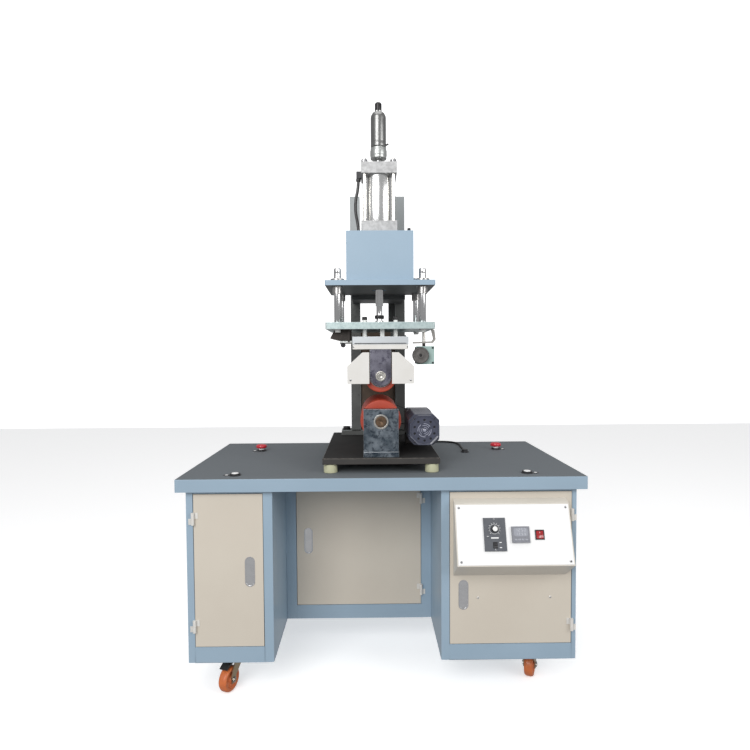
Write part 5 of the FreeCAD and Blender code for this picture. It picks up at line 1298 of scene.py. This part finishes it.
@dataclass
class Head:
    """Column, arm, top plate with its cover and bushes, and the cylinder above."""

    centre: float = 240.0
    front_cap: float = 747.0
    rear_cap: float = 931.5
    cap_height: float = 35.0
    barrel: float = 52.0
    tie_offset: float = 46.0

    def column(self) -> None:
        """Uprights painted dark lower down as painted shade and lighter grey at their tops, the dark panel,
        weld beads and the cable clip.
        """
        zones: list[Zone] = [
            (PANEL, lambda c: (np.abs(c[:, 0]) < 66.9) & (c[:, 1] < 567) & (c[:, 2] > 64.5)),
            (COLUMN_TOP, lambda c: (c[:, 2] > 957.5)),
        ]
        soften("column", COLUMN, 1.2, COLUMN_TOP, zones)
        beads = []
        for index, side in enumerate((-1, 1)):
            count = 34
            place = np.linspace(0.0, 2 * math.pi * count, count * 8)
            around = circle(1.0, 10)
            swell = 3.0 + 0.5 * np.sin(place)[:, None]
            run = np.linspace(68.0, 103.0, len(place))[:, None] * side
            rings = np.stack([np.broadcast_to(run, (len(place), 10)), swell * around[:, 0][None] * 0.9,
                              swell * around[:, 1][None] * 0.8], axis=-1)
            bead = skin(f"weld{index}", rings, Seat(spot(0, 549.6, 64.4)))
            beads.append(coat(bead, COLUMN))
        wear(merged("column_welds", beads), COLUMN, "root")
        bolts = []
        for index, side in enumerate((-1, 1)):
            seat = Seat(spot(side * 123.0, 577.0, 64.0))
            washer = ring_shape(f"foot_washer{index}", [(8.2, 0), (15, 0), (15, 2.6), (8.2, 2.6)], seat,
                                0.3, 40)
            head = carried(f"foot_bolt{index}", hexagon(24.0), slab(2.6, 12.6, 1.4), seat)
            for part in (washer, head):
                bolts.append(coat(part, BLACK_OXIDE))
        wear(merged("column_foot_bolts", bolts), BLACK_OXIDE, "root")

    def top_plate(self) -> None:
        """Plate, cover with its screws and bleed knob, and the guide bushes."""
        # The plate's underside takes the arm's near-black colour: painted shade under the plate.
        soften("top_plate", BLUE, 1.0, zones=[(ARM, lambda c: c[:, 2] < 567.3)])
        soften("head_arm", ARM, 1.5)
        soften("head_cover", BLUE, 1.6)
        soften("guide_bushes", BUSH, 0.6)
        knob = turned("cover_knob", [(0, 0), (3.0, 0), (3.0, 2.4), (5.2, 3.0), (5.2, 8.0), (4.2, 9.0),
                                     (0, 9.0)], Seat(spot(90.6, 132, 737)), 0.5, 28)
        wear(knob, BLACK_OXIDE, "root")
        seats = [Seat(spot(x * 103.5, y, z), (float(x), 0.0, 0.0)) for x in (-1, 1) for y in (150, 340)
                 for z in (612, 705)]
        screws("cover_screws", seats, 3.4, 1.8, Drive.CROSS, TURNED_STEEL, "root")

    def cylinder(self) -> None:
        """Polished barrel between cast caps, tie rods with nuts, and the port elbow."""
        half = self.tie_offset
        zones: list[Zone] = [
            (TIE, lambda c: (np.hypot(np.abs(c[:, 0]) - half, np.abs(c[:, 1] - self.centre) - half) < 6.02)
             & (c[:, 2] > 750)),
            (BLACK, lambda c: c[:, 0] < -57.2),
            (ARM, lambda c: (c[:, 2] < 746.9)),
        ]
        soften("cylinder_caps", CAST, 1.6, None, zones)
        low = self.front_cap + self.cap_height
        seat = Seat(spot(0, self.centre, low))
        tube = ring_shape("barrel", [(50.1, 0), (self.barrel, 0), (self.barrel, self.rear_cap - low),
                                     (50.1, self.rear_cap - low)], seat, 0.4, 128)
        wear(tube, BARREL, "root", "cylinder_barrel")
        parts = []
        for index, (x, y) in enumerate((x, y) for x in (-half, half) for y in (-half, half)):
            top = Seat(spot(x, self.centre + y, self.rear_cap + self.cap_height))
            nut = carried(f"tie_nut{index}", hexagon(17), slab(1.4, 9.4, 0.8), top)
            washer = ring_shape(f"tie_washer{index}", [(6.2, 0), (10, 0), (10, 1.4), (6.2, 1.4)], top, 0.2,
                                32)
            end = turned(f"tie_end{index}", [(0, 3.0), (6.0, 3.0), (6.0, 11.5), (5.2, 12.4), (0, 12.4)],
                         top, 0.3, 28)
            for part, finish in ((nut, TURNED_STEEL), (washer, TURNED_STEEL), (end, TIE)):
                parts.append(coat(part, finish))
        gland = ring_shape("rod_gland", [(13.2, 0), (21, 0), (21, 2.2), (13.2, 2.2)],
                           Seat(spot(0, self.centre, self.rear_cap + self.cap_height)), 0.4, 48)
        parts.append(coat(gland, TURNED_STEEL))
        wear(merged("cylinder_fixings", parts), TURNED_STEEL, "root")

    def build(self) -> None:
        """The fixed upper part of the press."""
        self.column()
        self.top_plate()
        self.cylinder()


@dataclass
class Plunger:
    """Through rod, lock nut, stop collar and stroke sleeve."""

    centre: float = 240.0
    foot: float = 456.0
    rod: float = 12.5

    def build(self) -> None:
        """Turned pieces on the cylinder's axis."""
        seat = Seat(spot(0, self.centre, 0))
        line = [(0, self.foot), (14, self.foot), (14, 467), (10, 467), (10, 516), (self.rod, 516),
                (self.rod, 872), (49.6, 872), (49.6, 896), (self.rod, 896), (self.rod, 1133), (11, 1137),
                (11, 1145), (0, 1145)]
        rod = turned("through_rod", line, seat, 0.8, 72)
        tip = turned("rod_tip", [(0, 1144), (11, 1144), (11, 1168), (10.2, 1170), (8.2, 1172), (5, 1172),
                                 (4.2, 1168), (0, 1168)], seat, 0.5, 48)
        nut = carried("rod_nut", hexagon(26.8), slab(474.2, 485.8, 1.4), seat)
        flat = carried("rod_flat", hexagon(21.0), slab(1139.6, 1146, 0.6), seat)
        for part, finish in ((rod, ROD), (tip, BLACK_OXIDE), (nut, BLACK_OXIDE), (flat, CERAMIC)):
            coat(part, finish)
        wear(merged("piston_and_rod", [rod, tip, nut, flat]), ROD, "platen", "piston_rod")
        collar = ring_shape("stop_collar_ring", [(12.6, 991.6), (24.5, 991.6), (26, 993), (26, 1001),
                                                 (27, 1002), (27, 1018), (25.5, 1019.5), (25.5, 1026),
                                                 (24, 1027.4), (12.6, 1027.4)], seat, 0.6, 72)
        wear(collar, COLLAR, "stroke_collar", "stroke_collar")
        sleeve = ring_shape("sleeve_barrel", [(12.62, 1028.6), (23.5, 1028.6), (24.9, 1030), (24.9, 1042),
                                              (24.2, 1042.6), (24.2, 1044.4), (24.9, 1045), (24.9, 1124),
                                              (24, 1129), (19, 1138.5), (14.5, 1139.4), (12.62, 1139.4)],
                            seat, 1.2, 72)
        coat(sleeve, ADJUSTER)
        marks = []
        for index in range(24):
            turn = 2 * math.pi * index / 24
            out = (math.cos(turn), math.sin(turn), 0.0)
            x, y, _ = out
            tall = 7.0 if index % 6 == 0 else 4.0
            tick = carried(f"sleeve_tick{index}", rounded(0.7, tall, 0.2), slab(-0.3, 0.12, 0.05, 2),
                           Seat(spot(24.9 * x, self.centre + 24.9 * y, 1032 + tall / 2), out))
            marks.append(coat(tick, BLACK))
        lever = carried("sleeve_lever", rounded(3.0, 5.0, 0.8), slab(-2.0, 9.0, 0.6, 3),
                        Seat(spot(24.6, self.centre, 1037), (0.86, 0.0, 0.5)))
        coat(lever, BLACK_OXIDE)
        wear(merged("stroke_sleeve_barrel", [sleeve, lever, *marks]), ADJUSTER, "stroke_sleeve",
             "stroke_sleeve")


# --- moving platen ------------------------------------------------------------------------------

@dataclass
class Platen:
    """Platen plate, posts, heater plates, fork, guards, print roller and foil gear."""

    centre: float = 240.0
    under: float = 435.0
    thick: float = 21.0
    post_side: float = 131.0
    post_backs: tuple[float, float] = (125.0, 358.0)
    post_top: float = 622.0
    roller_axis: float = 291.0
    roller_radius: float = 50.0
    roller_front: float = 112.0
    roller_length: float = 256.0
    mount_face: float = 93.2
    mount_top: float = 387.8
    heater_top: float = 412.2
    spacer_top: float = 463.9
    rewind: tuple[float, float] = (142.0, 354.0)

    def plate(self) -> None:
        """Galvanised plate and its four chromed posts, with nuts below and turned ends above."""
        soften("platen", ZINC, 1.0, ZINC_EDGE)
        posts = []
        for index, (sign, back) in enumerate((s, b) for s in (-1, 1) for b in self.post_backs):
            seat = Seat(spot(sign * self.post_side, back, 0))
            shaft = turned(f"post{index}", [(0, self.under - 2), (10.9, self.under - 2),
                                            (10.9, self.post_top - 3), (9.4, self.post_top - 0.6),
                                            (0, self.post_top - 0.6)], seat, 0.8, 48)
            band = ring_shape(f"post_band{index}", [(10.7, 606), (10.98, 606), (10.98, 619), (9.2, 621.9),
                                                    (2.0, 621.9), (2.0, 619)], seat, 0.3, 48)
            nut = carried(f"post_nut{index}", hexagon(15.6), slab(self.under - 9, self.under - 1, 0.8), seat)
            for part, finish in ((shaft, ROD), (band, ROD), (nut, CERAMIC)):
                posts.append(coat(part, finish))
        wear(merged("chromed_posts", posts), ROD, "platen", "guide_posts")

    def heater(self) -> None:
        """Heater and mount plates, spacers, socket screws and the insulating block."""
        def groove_shade(centre: Array) -> Array:
            """The walls of the slot between the two plates, painted black as the shade in the slot."""
            rise = np.abs(centre[:, 2] - self.mount_top - 2.8)
            return (rise < 1.8) & (np.abs(centre[:, 1] - self.mount_face - 0.6) < 1.6)

        zones: list[Zone] = [
            (BLACK_OXIDE, lambda c: c[:, 2] > self.spacer_top),
            (CERAMIC, lambda c: (c[:, 2] > self.heater_top) & (c[:, 2] < self.spacer_top)),
            (GUARD, lambda c: c[:, 2] < self.mount_top),
            # The slot's walls take the black oxide colour: painted shade between the plates.
            (BLACK_OXIDE, groove_shade),
        ]
        soften("heater_mount", HEATER, 0.8, None, zones)
        seats = [Seat(spot(x * 82.0, self.mount_face, 380.5), FRONTWARD) for x in (-1, 1)]
        screws("mount_plate_screws", seats, 2.6, 1.4, Drive.CROSS, TURNED_STEEL, "platen")
        heads = [Seat(spot(x * 75, y, self.heater_top - 0.6)) for x in (-1, 1) for y in (110, 240, 370)]
        screws("heater_screws", heads, 4.5, 4.5, Drive.SOCKET, BLACK_OXIDE, "platen")

    def fork_and_roller(self) -> None:
        """Steel fork plates, sheet guards with screws, and the hot roller."""
        soften("roller_fork", FORK, 0.8, BRIGHT_EDGE)
        soften("roller_guards", GUARD, 0.5)
        seats = [Seat(spot(x * 91.5, self.mount_face, 279.5), FRONTWARD) for x in (-1, 1)]
        screws("guard_screws", seats, 3.4, 1.7, Drive.CROSS, TURNED_STEEL, "platen")
        seat = Seat(spot(0, self.roller_front, self.roller_axis), BACKWARD)
        r, end = self.roller_radius, self.roller_length
        cover = ring_shape("print_cover", [(35, 0.2), (r - 2, 0.0), (r, 2.0), (r, end - 2.0), (r - 2, end),
                                           (35, end - 0.2)], seat, 1.2, 96)
        core = ring_shape("print_core", [(9.8, 2.0), (30, 2.0), (33, 0.6), (35.2, 0.6), (35.2, end - 0.6),
                                         (33, end - 0.6), (30, end - 2), (9.8, end - 2)], seat, 0.8, 72)
        axle = turned("print_axle", [(0, -17), (2.2, -18.2), (2.6, -19.6), (9.0, -20), (10, -19), (10, 275),
                                     (9.0, 276), (0, 276)], seat, 0.3, 48)
        ring = ring_shape("print_washer", [(10.0, -19.4), (14.8, -19.4), (15.9, -18.4), (15.9, -16.6),
                                           (10.0, -16.6)], seat, 0.3, 56)
        for part, finish in ((cover, RED), (core, TURNED_STEEL), (axle, BUSH_RING), (ring, BUSH_RING)):
            coat(part, finish)
        wear(merged("hot_roller", [cover, core, axle, ring]), RED, "print_roller", "print_roller")

    def foil_gear(self) -> None:
        """Foil tray, rod and knob, the bent arm, and the rewind motor with its knurled wheel."""
        rod = (COLLAR, lambda c: (c[:, 1] < 134.1) & (c[:, 0] < -86) & (c[:, 2] < 403)
               & (np.hypot(c[:, 2] - 396, c[:, 1] - 128) < 5.6))
        knob = (BLACK_OXIDE, lambda c: (np.hypot(c[:, 0] + 115, c[:, 2] - 387) < 7.6) & (c[:, 1] < 136.1))
        arm = (BUSH_RING, lambda c: (c[:, 0] > 103) & (c[:, 2] > 390))
        soften("foil_bracket", BRACKET, 0.5, None, [rod, knob, arm])
        soften("rewind_motor", STEPPER, 0.7, None, [
            (BLACK_OXIDE, lambda c: c[:, 1] < 149.9), (BLACK_OXIDE, lambda c: c[:, 1] > 156.1)])
        x, z = self.rewind
        heads = [Seat(spot(x + sx * 23.5, 150.1, z + sz * 23.5), FRONTWARD) for sx in (-1, 1)
                 for sz in (-1, 1)]
        screws("rewind_motor_screws", heads, 3.0, 2.6, Drive.SOCKET, BLACK_OXIDE, "platen")
        seat = Seat(spot(x - 16.0, 132, z), BACKWARD)
        rim = carried("rewind_rim", ribbed(26.6, 48, 0.9, 5), [(1.2, 1.8), (0.2, 2.4), (0.0, 5.0),
                                                               (2.2, 6.0), (2.2, 8.0), (0.0, 9.0),
                                                               (0.2, 12.0), (1.2, 13.6)], seat)
        face = ring_shape("rewind_face", [(4.1, -0.0), (9, 0.0), (10, 1.0), (20.5, 1.0), (21.5, 0.1),
                                          (24.4, 0.1), (25.2, 1.4), (4.1, 1.4)], seat, 0.3, 64)
        hole = ring_shape("rewind_bore", [(4.1, -0.1), (4.9, -0.1), (4.9, 0.4), (4.1, 0.4)], seat, 0.1, 32)
        for part, finish in ((rim, BLACK), (face, KNURL), (hole, BLACK_OXIDE)):
            coat(part, finish)
        wear(merged("rewind_disc", [rim, face, hole]), KNURL, "rewind_wheel", "rewind_wheel")

    def build(self) -> None:
        """Everything that goes down with the cylinder's rod."""
        self.plate()
        self.heater()
        self.fork_and_roller()
        self.foil_gear()


def main() -> None:
    """Build the camera and cords first, then each sub-assembly in order."""
    logging.basicConfig(level=logging.INFO, format="%(message)s")
    for assembly in (Studio(), Cords(), Desk(), Buttons(), ControlPanel(), Casters(), DriveTrain(), Head(),
                     Plunger(), Platen()):
        LOG.info("building %s", type(assembly).__name__)
        assembly.build()


if __name__ == "__main__":
    main()
